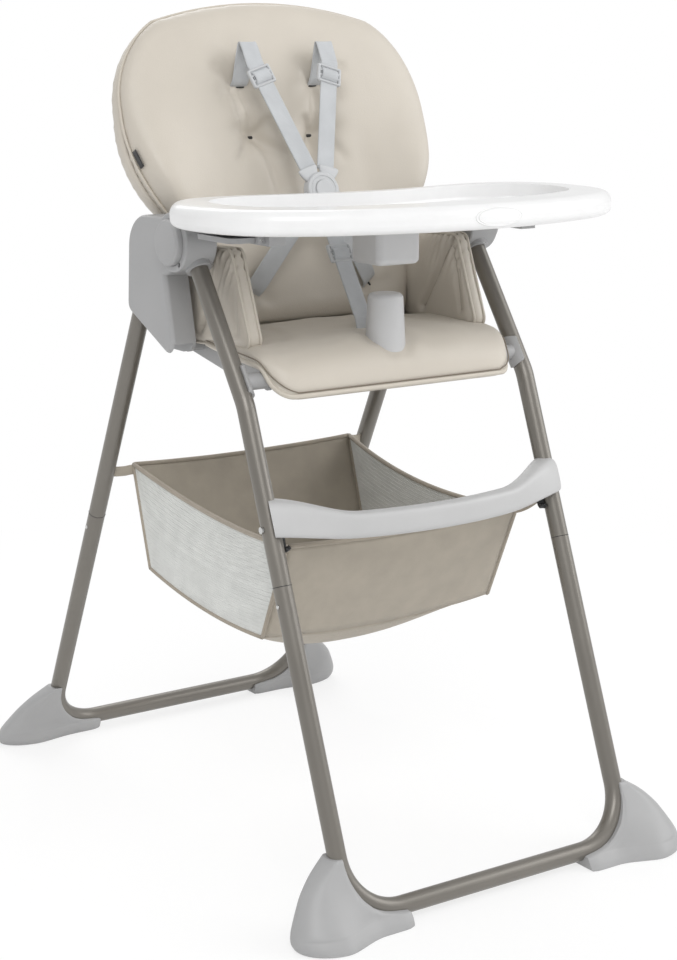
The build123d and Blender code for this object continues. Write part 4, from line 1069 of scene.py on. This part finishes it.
@dataclass
class Harness:
    """Five-point harness: straps, adjusters and the buckle's tongues."""

    recline: Recline
    width: float = 24.0
    thickness: float = 1.6
    buckle: Pair = (148.653, 54.463)
    buckle_radius: float = 22.5
    waist_slot: Pair = (87.0, 40.0)
    shoulder_loop: tuple[Triple, ...] = (
        (57.0, 297.0, -20.0), (57.0, 297.0, -12.0), (57.0, 299.0, -4.0), (57.0, 306.0, 3.0),
        (56.8, 322.0, 13.0), (56.5, 336.0, 21.5), (56.3, 341.2, 25.2), (56.1, 342.0, 27.4),
        (55.9, 340.4, 29.2), (55.5, 333.0, 31.6),
    )
    shoulder_start: Triple = (55.0, 314.0, 36.0)
    shoulder_angle: float = 36.0
    waist_angle: float = 115.0
    crotch_turn: Triple = (0.0, -112.0, 637.0)
    adjuster_at: float = 18.0
    crotch_at: float = 62.0
    rim_radius: float = 17.4
    lock_rise: float = 2.9
    lock_taper: float = 0.55
    lock_bars: tuple[tuple[float, ...], ...] = (
        (1.8, -15.0, -10.4, 15.0, -10.4), (1.8, -15.0, 10.4, 15.0, 10.4), (1.8, -14.0, 3.2, 14.0, 3.2),
        (1.8, -14.0, -3.4, 14.0, -3.4), (2.1, -15.0, -10.4, -15.0, 10.4), (2.1, 15.0, -10.4, 15.0, 10.4),
    )
    lock_wrap: tuple[Pair, ...] = ((-7.6, 0.6), (-4.4, 3.0), (0, 4.1), (4.2, 3.1), (7.4, 0.6))
    tongue_rows: tuple[Triple, ...] = (
        (-5.0, 8.0, 2.4), (0.0, 10.0, 2.9), (5.0, 12.6, 2.9), (11.0, 14.4, 2.7), (13.5, 13.6, 1.6),
    )

    def buckle_side(self, degrees: float, reach: float) -> Vector:
        """Place about the buckle's middle, at an angle from its top."""
        turn = math.radians(degrees)
        return self.recline.point(
            reach * math.sin(turn), self.buckle[0] + reach * math.cos(turn), self.buckle[1]
        )

    def mirror(self, spot: Vector, side: Side) -> Vector:
        """Right-hand place moved to a side."""
        return Vector((spot.x * side.value, spot.y, spot.z))

    def strap(self, dresser: Dresser, name: str, run: list[Vector], widths: list[Vector]) -> Piece:
        """One dressed strap."""
        piece = Shaper.ribbon(name, run, widths, self.width * MM, self.thickness * MM)
        return dresser.dress(piece, dresser.wardrobe.webbing, Slot.WEBBING)

    def shoulder(self, dresser: Dresser, side: Side) -> None:
        """Shoulder strap: out of its slot, up in a loop and down to the buckle."""
        loop = through([self.recline.point(*spot) for spot in (*self.shoulder_loop, self.shoulder_start)], 6)
        start = self.recline.point(*self.shoulder_start)
        end = self.buckle_side(self.shoulder_angle, self.buckle_radius / 2)
        axis = (end - start).normalized()
        length = (end - start).length - 17.0 * MM
        lower = [start + axis * (length * step / 30) for step in range(1, 31)]
        run = [self.mirror(spot, side) for spot in loop + lower]
        flat = axis.cross(self.recline.forward).normalized()
        flat = flat if flat.x > 0 else -flat
        widths = []
        for index in range(len(run)):
            share = ease((index - len(loop) * 0.72) / (len(loop) * 0.4))
            across = Vector((1, 0, 0)).lerp(flat, share).normalized()
            widths.append(Vector((across.x, across.y * side.value, across.z * side.value)))
        piece = self.strap(dresser, f"shoulder_webbing_{side.tag}", run, widths)
        if side is Side.RIGHT:
            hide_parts("shoulder_straps")

    def waist(self, dresser: Dresser, side: Side) -> None:
        """Waist strap from its slot to the buckle."""
        x, up = self.waist_slot
        end = self.buckle_side(self.waist_angle, self.buckle_radius / 2)
        first = self.recline.point(x, up, 3.0)
        axis = (end - first).normalized()
        spots = [self.recline.point(x, up, -10.0), self.recline.point(x, up, -3.0), first + axis * 0.008]
        lower = [first + axis * ((end - first).length - 0.015) * share for share in (0.3, 0.55, 0.8, 1.0)]
        run = through(spots + lower, 8)
        flat = self.mirror(axis.cross(self.recline.forward).normalized(), side)
        run = [self.mirror(spot, side) for spot in run]
        piece = self.strap(dresser, f"waist_webbing_{side.tag}", run, [flat] * len(run))
        if side is Side.RIGHT:
            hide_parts("waist_straps")

    def crotch(self, dresser: Dresser) -> None:
        """Crotch strap from the buckle down through the seat."""
        top = self.buckle_side(180.0, self.buckle_radius - 6.0)
        turn = point(*self.crotch_turn)
        axis = (turn - top).normalized()
        spots = [top + axis * ((turn - top).length * share) for share in (0.0, 0.3, 0.6, 0.9, 0.965)]
        spots += [point(0, self.crotch_turn[1], z) for z in (628.0, 600.0, 578.0)]
        run = through(spots, 8)
        piece = self.strap(dresser, "crotch_webbing", run, [Vector((1, 0, 0))] * len(run))
        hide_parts("crotch_strap")

    def adjuster(self, dresser: Dresser, name: str, node: str, body: Body, place: Matrix) -> None:
        """Ladder lock: a frame of rails and round bars with the strap over its middle bar.

        Args:
            dresser: Finishes the pieces.
            name: Name of the piece.
            node: Solid that it stands for.
            body: Body that it rides on.
            place: Its own frame: X across the strap, Y along it and Z out of it.
        """
        mesh = bpy.data.meshes.new(name)
        made = bmesh.new()
        for wide, x0, y0, x1, y1 in self.lock_bars:
            start, end = point(x0, y0, 0.0), point(x1, y1, 0.0)
            across = (end - start).normalized().cross(Vector((0, 0, 1)))
            rings = []
            for share in (-0.03, 0.0, 0.04, 0.5, 0.96, 1.0, 1.03):
                thin = 1.0 if 0.0 <= share <= 1.0 else self.lock_taper
                spot = start.lerp(end, share)
                ring = []
                for turn in turns(12):
                    out = across * math.cos(turn) * (wide * MM) * thin
                    rise = Vector((0, 0, math.sin(turn) * self.lock_rise * MM * thin))
                    ring.append(made.verts.new(spot + out + rise))
                rings.append(ring)
            for low, high in zip(rings, rings[1:]):
                for step in range(12):
                    after = (step + 1) % 12
                    made.faces.new([low[step], low[after], high[after], high[step]]).smooth = True
            made.faces.new(list(reversed(rings[0])))
            made.faces.new(rings[-1])
        bmesh.ops.recalc_face_normals(made, faces=made.faces)
        made.to_mesh(mesh)
        made.free()
        mesh.transform(place)
        piece = Shaper.keep(name, mesh)
        dresser.dress(piece, dresser.wardrobe.buckle, Slot.BUCKLE, body, [node])
        run = [place @ spot for spot in through([point(0, y, z) for y, z in self.lock_wrap], 5)]
        across = (place.to_3x3() @ Vector((1, 0, 0))).normalized()
        wrap = Shaper.ribbon(f"{name}_wrap", run, [across] * len(run), (self.width - 1.0) * MM, 1.4 * MM)
        dresser.dress(wrap, dresser.wardrobe.webbing, Slot.WEBBING, body)

    def frame_at(self, start: Vector, end: Vector, reach: float) -> Matrix:
        """Frame on a strap's straight run, a distance from its start."""
        axis = (end - start).normalized()
        out = (self.recline.forward - axis * self.recline.forward.dot(axis)).normalized()
        across = axis.cross(out)
        matrix = Matrix((across, axis, out)).transposed().to_4x4()
        matrix.translation = start + axis * (reach * MM)
        return matrix

    def tongue(self, dresser: Dresser, name: str, degrees: float, way: Vector) -> None:
        """Plastic tongue that joins a strap to the buckle."""
        edge = self.buckle_side(degrees, self.buckle_radius - 1.5)
        out = self.recline.forward
        axis = (way - out * way.dot(out)).normalized()
        across = axis.cross(out)
        rows = []
        for along, half, thick in self.tongue_rows:
            spot = edge + axis * (along * MM)
            rows.append(
                [
                    spot
                    + across * (squared(math.cos(turn), 0.35) * half * MM)
                    + out * (squared(math.sin(turn), 0.6) * thick * MM)
                    for turn in turns(28)
                ]
            )
        piece = Shaper.grid(name, rows, True, True)
        Shaper.subdivide(piece)
        dresser.dress(piece, dresser.wardrobe.buckle, Slot.BUCKLE)

    def build(self, dresser: Dresser) -> None:
        """Make the whole harness."""
        start = self.recline.point(*self.shoulder_start)
        end = self.buckle_side(self.shoulder_angle, self.buckle_radius / 2)
        first = self.recline.point(*self.waist_slot, 3.0)
        for side, body in ((Side.RIGHT, Body.SHOULDER_RIGHT), (Side.LEFT, Body.SHOULDER_LEFT)):
            tag = side.tag
            self.shoulder(dresser, side)
            self.waist(dresser, side)
            place = self.frame_at(self.mirror(start, side), self.mirror(end, side), self.adjuster_at)
            self.adjuster(dresser, f"ladder_lock_{tag}", f"shoulder_adjuster_{tag}", body, place)
            way = self.mirror(start - end, side)
            self.tongue(dresser, f"shoulder_tongue_{tag}", self.shoulder_angle * side.value, way)
            lower = self.buckle_side(self.waist_angle, self.buckle_radius / 2)
            way = self.mirror(first - lower, side)
            self.tongue(dresser, f"waist_tongue_{tag}", self.waist_angle * side.value, way)
        self.crotch(dresser)
        top = self.buckle_side(180.0, self.buckle_radius + 0.3)
        turn = point(*self.crotch_turn)
        place = self.frame_at(top, turn, self.crotch_at)
        self.adjuster(dresser, "crotch_ladder_lock", "crotch_adjuster", Body.CROTCH_ADJUSTER, place)
        self.tongue(dresser, "crotch_tongue", 180.0, turn - top)
        rise = self.recline.forward * (7.0 * MM)
        ring = [self.buckle_side(step * 6.0, self.rim_radius) + rise for step in range(60)]
        rim = Shaper.tube("buckle_rim", ring, 0.7 * MM, True, 8)
        dresser.dress(rim, dresser.wardrobe.buckle, Slot.BUCKLE)


@dataclass(frozen=True)
class Band:
    """Short flat band at a corner of the basket."""

    name: str
    steps: int
    width: float
    thickness: float
    spots: tuple[Triple, ...]


@dataclass
class Basket:
    """Cloth basket with net sides, bound edges and hooks."""

    half: float = 168.0
    rear_top: Pair = (172.0, 431.0)
    front_top: Pair = (-200.0, 402.0)
    front_foot: Pair = (-145.0, 278.0)
    rear_foot: Pair = (132.0, 300.0)
    sag: float = 62.0
    net_pitch: float = 3.0
    net_thread: float = 1.8
    net_drop: float = 126.0
    net_sag: float = 17.0
    net_pull: float = 9.0
    net_belly: float = 3.0
    rim_dip: float = 5.0
    hem_dip: float = 10.0
    bands: tuple[Band, ...] = (
        Band("tie", 5, 14.0, 1.6, (
            (165.0, 170.5, 424.0), (173.0, 173.0, 424.0), (181.0, 175.5, 422.8), (189.0, 178.0, 422.6),
            (197.0, 181.0, 422.8),
        )),
        Band("hook", 6, 9.0, 4.0, (
            (191.0, -222.0, 428.0), (190.0, -222.5, 420.0), (189.0, -224.0, 410.0), (188.0, -228.0, 407.0),
            (187.0, -231.5, 410.0),
        )),
        Band("loop", 5, 9.0, 1.4, (
            (190.0, -221.0, 418.0), (182.0, -212.0, 408.0), (174.0, -205.0, 402.0), (165.0, -198.0, 399.0),
        )),
    )

    def wall(self, top: Pair, foot: Pair, x: float, share: float, belly: float) -> Vector:
        """Place on the front or rear wall, from its top edge down."""
        across = 1 - (x / self.half) ** 2
        y = mix(top[0], foot[0], share)
        z = mix(top[1], foot[1], share) - self.rim_dip * across * (1 - share) ** 2
        y += belly * across * math.sin(math.pi * min(1.0, share * 0.9 + 0.1))
        crease = 1.2 * noise.noise(Vector((x * 0.018, share * 3.0, top[0] * 0.01)))
        return point(x, y + crease, z - self.hem_sag(x, share))

    def hem_sag(self, x: float, share: float) -> float:
        """Fall of a wall's lower edge below its corners."""
        return self.hem_dip * (1 - (x / self.half) ** 2) * share**2

    def floor(self, x: float, share: float) -> Vector:
        """Place on the sagging floor, from front to rear."""
        across = max(0.0, 1 - abs(x / self.half) ** 2.6)
        deep = self.sag * (0.16 + 0.78 * across) * 4 * share * (1 - share)
        z = mix(self.front_foot[1], self.rear_foot[1], share) - deep
        return point(x, mix(self.front_foot[0], self.rear_foot[0], share), z - self.hem_sag(x, 1.0))

    def flank(self, side: Side, share: float, drop: float) -> Vector:
        """Place on a net side, from front to rear and from its top edge down."""
        hang = 4 * share * (1 - share)
        top = Vector([mix(first, last, share) for first, last in zip(self.front_top, self.rear_top)])
        low = self.floor(self.half, share)
        y = mix(top.x, low.y / MM, drop)
        z = mix(top.y - self.net_sag * hang, low.z / MM, drop)
        inwards = self.net_pull * hang * (1 - drop) ** 1.5
        inwards -= self.net_belly * hang * math.sin(math.pi * drop)
        return point(side.value * (self.half + 1.5 - inwards), y, z)

    @staticmethod
    def fold_up(piece: Piece) -> Piece:
        """Give a piece its own copy of its mesh."""
        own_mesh(piece)
        return piece

    def cloth(
        self, dresser: Dresser, name: str, rows: list[list[Vector]], node: str, holders: Sequence[str]
    ) -> Piece:
        """One cloth panel with its thickness.

        Args:
            dresser: Finishes the panel.
            name: Name of the panel.
            rows: Its points.
            node: Solid that it stands for.
            holders: What it hangs from; not used.

        Returns:
            The panel.
        """
        piece = Shaper.grid(name, rows)
        Shaper.thicken(piece, 1.6)
        dresser.dress(piece, dresser.wardrobe.canvas, Slot.CLOTH, replaces=[node])
        middle = len(rows[0]) // 2
        long = sum((last[middle] - first[middle]).length for first, last in zip(rows, rows[1:]))
        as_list(holders)
        return self.fold_up(piece)

    def net(self, dresser: Dresser, side: Side) -> None:
        """Knotted net of one side."""
        tag = side.tag
        columns = int((self.rear_top[0] - self.front_top[0]) / self.net_pitch)
        lines = int(self.net_drop / self.net_pitch)
        rows = []
        for row in range(lines + 1):
            slip = 0.5 if row % 2 else 0.0
            shares = [min(1.0, (column + slip) / columns) for column in range(columns + 1)]
            rows.append([self.flank(side, share, row / lines) for share in shares])
        piece = Shaper.grid(f"basket_net_{tag}", rows)
        made = bmesh.new()
        made.from_mesh(piece.data)
        holes = list(made.faces)
        bmesh.ops.inset_individual(made, faces=holes, thickness=self.net_thread / 2 * MM, use_even_offset=True)
        bmesh.ops.delete(made, geom=holes, context="FACES")
        made.to_mesh(piece.data)
        made.free()
        Shaper.thicken(piece, 0.7)
        dresser.dress(piece, dresser.wardrobe.net, Slot.NET, replaces=[f"basket_mesh_{tag}"])
        self.fold_up(piece)

    def bind(self, dresser: Dresser, name: str, run: list[Vector], radius: float) -> None:
        """Binding tape over an edge."""
        tape = Shaper.tube(name, run, radius * MM, sides=8)
        self.fold_up(dresser.dress(tape, dresser.wardrobe.binding, Slot.CLOTH))

    def hold(self, dresser: Dresser, side: Side) -> None:
        """Short strap from a rear corner to the rear leg, and the hook and loop of a front corner."""
        wardrobe = dresser.wardrobe
        across = ((0.0, -0.2, 0.98), (0.83, -0.56 * side.value, 0.0), (0.0, 0.0, 1.0))
        looks = (
            (wardrobe.canvas, Slot.CLOTH, Body.REAR_FRAME, ["basket_rear_straps"]),
            (wardrobe.black, Slot.BLACK, Body.CHAIR, ["basket_front_clips"]),
            (wardrobe.binding, Slot.CLOTH, Body.CHAIR, []),
        )
        for band, way, (finish, slot, body, nodes) in zip(self.bands, across, looks):
            run = through([point(side.value * x, y, z) for x, y, z in band.spots], band.steps)
            ways = [Vector(way)] * len(run)
            name = f"basket_{band.name}_{side.tag}"
            piece = Shaper.ribbon(name, run, ways, band.width * MM, band.thickness * MM)
            dresser.dress(piece, finish, slot, body, nodes if side is Side.RIGHT else [])

    def build(self, dresser: Dresser) -> None:
        """Make panels, nets and bindings."""
        xs = [mix(-self.half, self.half, step / 40) for step in range(41)]
        shares = [step / 16 for step in range(17)]
        ends = (
            ("front", self.front_top, self.front_foot, -9.0, ["front_upper_tubes"]),
            ("rear", self.rear_top, self.rear_foot, 7.0, ["rear_upper_tubes"]),
        )
        for name, top, foot, belly, holders in ends:
            rows = [[self.wall(top, foot, x, share, belly) for x in xs] for share in shares]
            self.cloth(dresser, f"basket_{name}_cloth", rows, f"basket_{name}_panel", holders)
            self.bind(dresser, f"basket_{name}_rim", [self.wall(top, foot, x, 0.0, belly) for x in xs], 3.0)
            self.bind(dresser, f"basket_{name}_hem", [self.wall(top, foot, x, 1.0, belly) for x in xs], 1.1)
        rows = [[self.floor(x, step / 28) for x in xs] for step in range(29)]
        holders = ["basket_front_cloth", "basket_rear_cloth"]
        self.cloth(dresser, "basket_floor_cloth", rows, "basket_base", holders)
        edge = [step / 30 for step in range(31)]
        for side in Side:
            self.net(dresser, side)
            for name, drop, radius in (("top", 0.0, 3.0), ("floor", 1.0, 2.6)):
                run = [self.flank(side, share, drop) for share in edge]
                self.bind(dresser, f"basket_{name}_binding_{side.tag}", run, radius)
            for name, end in (("front", 0.0), ("rear", 1.0)):
                run = [self.flank(side, end, share) for share in shares]
                self.bind(dresser, f"basket_{name}_seam_{side.tag}", run, 2.6)
            self.hold(dresser, side)


@dataclass
class TrayTrim:
    """Bare oval frame on the front of the tray's rim."""

    middle: Pair = (20.0, 782.0)
    half: Pair = (33.0, 10.0)
    front: float = -345.0
    flat: Pair = (777.0, 783.0)
    rounding: Pair = (9.0, 13.0)
    bow: Pair = (118.0, 13.65)

    def wall(self, x: float, z: float, out: float) -> Vector:
        """Place on the rim's rounded front, standing out by an amount."""
        low, high = self.flat
        reach = max(low - z, z - high, 0.0)
        radius = self.rounding[0] if z < low else self.rounding[1]
        back = radius - math.sqrt(max(0.0, radius * radius - reach * reach))
        bow = self.bow[1] * (x / self.bow[0]) ** 2
        return point(x, self.front + back + bow - out, z)

    def build(self, dresser: Dresser) -> None:
        """Make the frame as a soft double bead."""
        wide, high = self.half
        for name, share, radius in (("tray_oval_frame", 1.0, 1.0), ("tray_oval_bead", 0.88, 0.6)):
            run = []
            for turn in turns(96):
                x = self.middle[0] + wide * share * math.cos(turn)
                run.append(self.wall(x, self.middle[1] + high * share * math.sin(turn), 0.1))
            piece = Shaper.tube(name, run, radius * MM, True, 8)
            dresser.dress(piece, dresser.wardrobe.tray, Slot.TRAY, Body.TRAY)


@dataclass
class Foot:
    """Moulded foot that wraps the bend of a leg and stands on the floor."""

    side: Side
    front: bool
    leg_x: float = 203.5
    bar_y: float = 380.7
    bar_z: float = 17.0
    front_lean: float = 0.3864
    rear_lean: float = 0.4846
    levels: tuple[tuple[float, ...], ...] = (
        (0.0, -71.0, 70.5, 37.5, 28.5, 20.5),
        (1.6, -72.4, 74.0, 39.0, 29.5, 21.0),
        (7.0, -73.0, 77.2, 38.5, 28.0, 20.5),
        (12.0, -73.0, 77.6, 37.2, 25.5, 19.0),
        (15.0, -72.0, 77.1, 36.2, 24.0, 17.8),
        (16.5, -65.0, 76.6, 35.6, 23.2, 17.0),
        (18.0, -54.0, 76.0, 35.0, 22.5, 16.6),
        (20.0, -44.0, 75.2, 34.0, 21.5, 16.4),
        (22.5, -36.5, 74.0, 32.8, 20.3, 16.4),
        (26.0, -29.5, 72.2, 31.0, 19.0, 16.6),
        (30.0, -24.0, 70.0, 29.0, 18.0, 16.8),
        (40.0, -13.8, 64.0, 24.5, 16.0, 17.0),
        (51.0, -6.7, 56.5, 20.5, 15.0, 16.8),
        (62.0, -2.2, 46.0, 17.8, 14.5, 16.4),
        (70.0, -0.7, 36.5, 16.3, 14.3, 15.8),
        (77.0, 0.0, 26.0, 15.2, 14.2, 15.0),
        (82.0, 0.2, 17.5, 14.6, 14.1, 14.6),
        (84.5, 0.6, 14.2, 13.4, 13.0, 13.4),
    )

    def ring(
        self, z: float, inner: float, outer: float, ahead: float, behind: float, arm: float
    ) -> list[Vector]:
        """Closed level section: round outside, cut flat where the tube leaves it."""
        away = -1.0 if self.front else 1.0
        axis = self.bar_y - (self.front_lean if self.front else self.rear_lean) * (z - self.bar_z)
        shares = [math.sin(math.pi / 2 * step / 35) for step in range(36)]

        def spot(share: float, full: float, slim: float, way: float) -> Vector:
            x = mix(inner, outer, share)
            nose = math.sqrt(max(0.0, 1 - (max(0.0, share - 0.6) / 0.4) ** 2.2))
            depth = mix(slim, full, ease((x + 32.0) / 66.0)) * nose * (0.86 + 0.14 * ease(share / 0.06))
            return point(self.side.value * (self.leg_x + x), away * (axis + way * depth), z)

        face = [spot(share, ahead, arm, 1.0) for share in shares]
        return face + [spot(share, behind, min(arm, behind), -1.0) for share in reversed(shares[:-1])]

    def build(self, dresser: Dresser) -> None:
        """Make the foot over its solid."""
        firsts = through([Vector(level[:3]) for level in self.levels], 4)
        lasts = through([Vector(level[3:]) for level in self.levels], 4)
        tag = f"{'front' if self.front else 'rear'}_foot_{self.side.tag}"
        piece = Shaper.grid(f"{tag}_shell", [self.ring(*a, *b) for a, b in zip(firsts, lasts)], True, True)
        piece.data.set_sharp_from_angle(angle=math.radians(38))
        body = Body.CHAIR if self.front else Body.REAR_FRAME
        dresser.dress(piece, dresser.wardrobe.grey, Slot.GREY, body, replaces=[tag])


@dataclass
class FootBar:
    """Curved footrest whose ends flare into saddles on the front legs."""

    half: float = 203.5
    spot: Pair = (-220.36, 432.0)
    bow: float = 52.0
    tall: float = 30.0
    deep: float = 22.0
    flare: Pair = (105.0, 98.0)
    flare_tall: float = 13.0
    flare_deep: float = 7.0
    leg_way: Triple = (0.0, 0.3604, 0.9328)

    def build(self, dresser: Dresser) -> None:
        """Make the bar over its solid."""
        radius = (self.half**2 + self.bow**2) / (2 * self.bow)
        rows = []
        for step in range(121):
            x = mix(-self.half + 1.0, self.half - 1.0, step / 120)
            flare = ease((abs(x) - self.flare[0]) / self.flare[1])
            fall = math.sqrt(radius * radius - x * x)
            y = self.spot[0] - (fall - radius + self.bow)
            middle = point(x, y, self.spot[1] + self.flare_tall * flare)
            out = Vector((x / radius, -fall / radius, 0.0))
            up = Vector((0, 0, 1)).lerp(Vector(self.leg_way), flare).normalized()
            ring = []
            for turn in turns(40):
                wide = squared(math.cos(turn), 0.5) * (self.deep + self.flare_deep * flare**3) / 2
                high = squared(math.sin(turn), 0.5) * (self.tall + self.flare_tall * flare) / 2
                ring.append(middle + out * (wide * MM) + up * (high * MM))
            rows.append(ring)
        piece = Shaper.grid("footrest_bar", rows, True, True)
        piece.data.set_sharp_from_angle(angle=math.radians(40))
        dresser.dress(piece, dresser.wardrobe.footrest, Slot.FOOTREST, replaces=["footrest"])


@dataclass
class TubeSeams:
    """Joint lines where the upper tubes enter the lower ones."""

    leg_x: float = 203.5
    radius: float = 10.9

    def build(self, dresser: Dresser) -> None:
        """Make one line at each leg."""
        legs = (
            ("front", (-244.32, 370.0), (0.3604, 0.9328), Body.CHAIR),
            ("rear", (213.51, 362.0), (-0.4361, 0.8999), Body.REAR_FRAME),
        )
        for name, spot, up, body in legs:
            for side in Side:
                ahead = Vector((0.0, up[1], -up[0]))
                middle = point(side.value * self.leg_x, *spot)
                ring = [
                    middle + (Vector((math.cos(turn), 0, 0)) + ahead * math.sin(turn)) * (self.radius * MM)
                    for turn in turns(48)
                ]
                line = Shaper.tube(f"{name}_seam_{side.tag}", ring, 0.45 * MM, True, 6)
                dresser.dress(line, dresser.wardrobe.black, Slot.BLACK, body)


@dataclass
class Solids:
    """Finishes of the solids that stay as they are."""

    nodes: dict[str, Piece]

    def build(self, wardrobe: Wardrobe) -> None:
        """Give every solid the material of the first name that fits, or else steel."""
        finishes = (
            (wardrobe.paint, ("lower_frame", "upper_tubes")),
            (wardrobe.grey, ("leg_socket", "side_housing", "housing_cover", "fold_button", "rear_leg_heads")),
            (wardrobe.grey, ("seat_shell", "seat_mounts", "seat_brackets")),
            (wardrobe.grey, ("tray_rails", "tray_bracket", "tray_latch")),
            (wardrobe.dark_grey, ("backrest_shell",)),
            (wardrobe.post, ("crotch_post", "tray_divider")),
            (wardrobe.buckle, ("buckle",)),
            (wardrobe.steel, ("tray_screws",)),
            (wardrobe.tray, ("tray",)),
        )
        for name, node in self.nodes.items():
            fitting = (finish for finish, parts in finishes if any(part in name for part in parts))
            finish = next(fitting, wardrobe.steel)
            node.data.materials.clear()
            node.data.materials.append(finish)
            LOG.info("%s wears %s", name, finish.name)


@dataclass
class Studio:
    """Floor, soft lights and the camera."""

    camera: Triple = (-1.3349, -2.0458, 0.9818)
    azimuth: float = -33.84
    down: float = 12.93
    lens: float = 73.39
    target: Triple = (0.0, 0.0, 0.55)
    lamps: tuple[tuple[str, Triple, float, float], ...] = (
        ("key_light", (-1.6, -2.6, 2.9), 1.8, 50.0),
        ("fill_light", (2.6, -1.6, 1.9), 2.2, 38.0),
        ("rear_light", (0.6, 2.4, 2.6), 2.0, 30.0),
    )

    def lamp(self, name: str, place: Triple, size: float, power: float) -> None:
        """Square soft light that looks at the chair."""
        light = bpy.data.lights.new(name, "AREA")
        light.size = size
        light.energy = power
        lamp = bpy.data.objects.new(name, light)
        bpy.context.scene.collection.objects.link(lamp)
        lamp.location = place
        way = Vector(self.target) - Vector(place)
        lamp.rotation_euler = way.to_track_quat("-Z", "Y").to_euler()

    def ground(self) -> None:
        """Pale floor that runs far behind the chair."""
        rows = [[Vector((x, y, -0.0005)) for x in (-14.0, 14.0)] for y in (-14.0, 14.0)]
        floor = Shaper.grid("studio_floor", rows)
        sheet = NodeSheet("studio_floor")
        sheet.set(Base_Color=(0.93, 0.93, 0.93, 1.0), Roughness=0.85)
        path = sheet.add("ShaderNodeLightPath")
        glow = sheet.add("ShaderNodeEmission", in_Color=(1.0, 1.0, 1.0, 1.0), in_Strength=1.0)
        blend = sheet.add("ShaderNodeMixShader")
        share = sheet.add("ShaderNodeMath", operation="MULTIPLY")
        seen = sheet.add("ShaderNodeMath", operation="MAXIMUM")
        sheet.link(path.outputs["Is Camera Ray"], seen.inputs[0])
        sheet.link(path.outputs["Is Glossy Ray"], seen.inputs[1])
        sheet.link(seen.outputs["Value"], share.inputs[0])
        reach = sheet.add("ShaderNodeVectorMath", operation="LENGTH")
        sheet.link(sheet.place("Object"), reach.inputs[0])
        fade = sheet.add("ShaderNodeMapRange", in_From_Min=0.5, in_From_Max=1.5, in_To_Min=0.74, in_To_Max=1.0)
        sheet.link(reach.outputs["Value"], fade.inputs["Value"])
        sheet.link(fade.outputs["Result"], share.inputs[1])
        sheet.link(share.outputs["Value"], blend.inputs["Fac"])
        sheet.link(sheet.shader.outputs["BSDF"], blend.inputs[1])
        sheet.link(glow.outputs["Emission"], blend.inputs[2])
        output = next(node for node in sheet.tree.nodes if node.type == "OUTPUT_MATERIAL")
        sheet.link(blend.outputs["Shader"], output.inputs["Surface"])
        floor.data.materials.append(sheet.material)

    def sky(self) -> None:
        """Even light from all round, white where the camera sees it."""
        world = bpy.data.worlds.new("studio")
        bpy.context.scene.world = world
        world.use_nodes = True
        tree = world.node_tree
        back = tree.nodes["Background"]
        path = tree.nodes.new("ShaderNodeLightPath")
        level = tree.nodes.new("ShaderNodeMapRange")
        level.inputs["To Min"].default_value = 0.72
        level.inputs["To Max"].default_value = 1.0
        tree.links.new(path.outputs["Is Camera Ray"], level.inputs["Value"])
        tree.links.new(level.outputs["Result"], back.inputs["Strength"])
        back.inputs["Color"].default_value = (1.0, 1.0, 1.0, 1.0)

    def build(self) -> None:
        """Set the stage."""
        scene = bpy.context.scene
        scene.view_settings.view_transform = "Standard"
        self.ground()
        self.sky()
        for lamp in self.lamps:
            self.lamp(*lamp)
        data = bpy.data.cameras.new("view")
        data.lens = self.lens
        data.sensor_width = 36.0
        view = bpy.data.objects.new("view", data)
        scene.collection.objects.link(view)
        view.location = self.camera
        view.rotation_euler = (math.radians(90.0 - self.down), 0.0, math.radians(self.azimuth))
        scene.camera = view


def main() -> None:
    """Dress the chair and set its view."""
    logging.basicConfig(level=logging.INFO, format="%(name)s: %(message)s")
    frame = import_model()
    Studio().build()
    wardrobe = Wardrobe()
    dresser = Dresser(wardrobe)
    recline = Recline()
    Solids(frame["nodes"]).build(wardrobe)
    BackCushion(recline).build(dresser)
    SeatCushion().build(dresser)
    for side in Side:
        SideWing(side).build(dresser)
    Harness(recline).build(dresser)
    TrayTrim().build(dresser)
    TubeSeams().build(dresser)
    Basket().build(dresser)
    FootBar().build(dresser)
    for side in Side:
        Foot(side, True).build(dresser)
        Foot(side, False).build(dresser)
    LOG.info("%d pieces made", len(dresser.made))


if __name__ == "__main__":
    main()
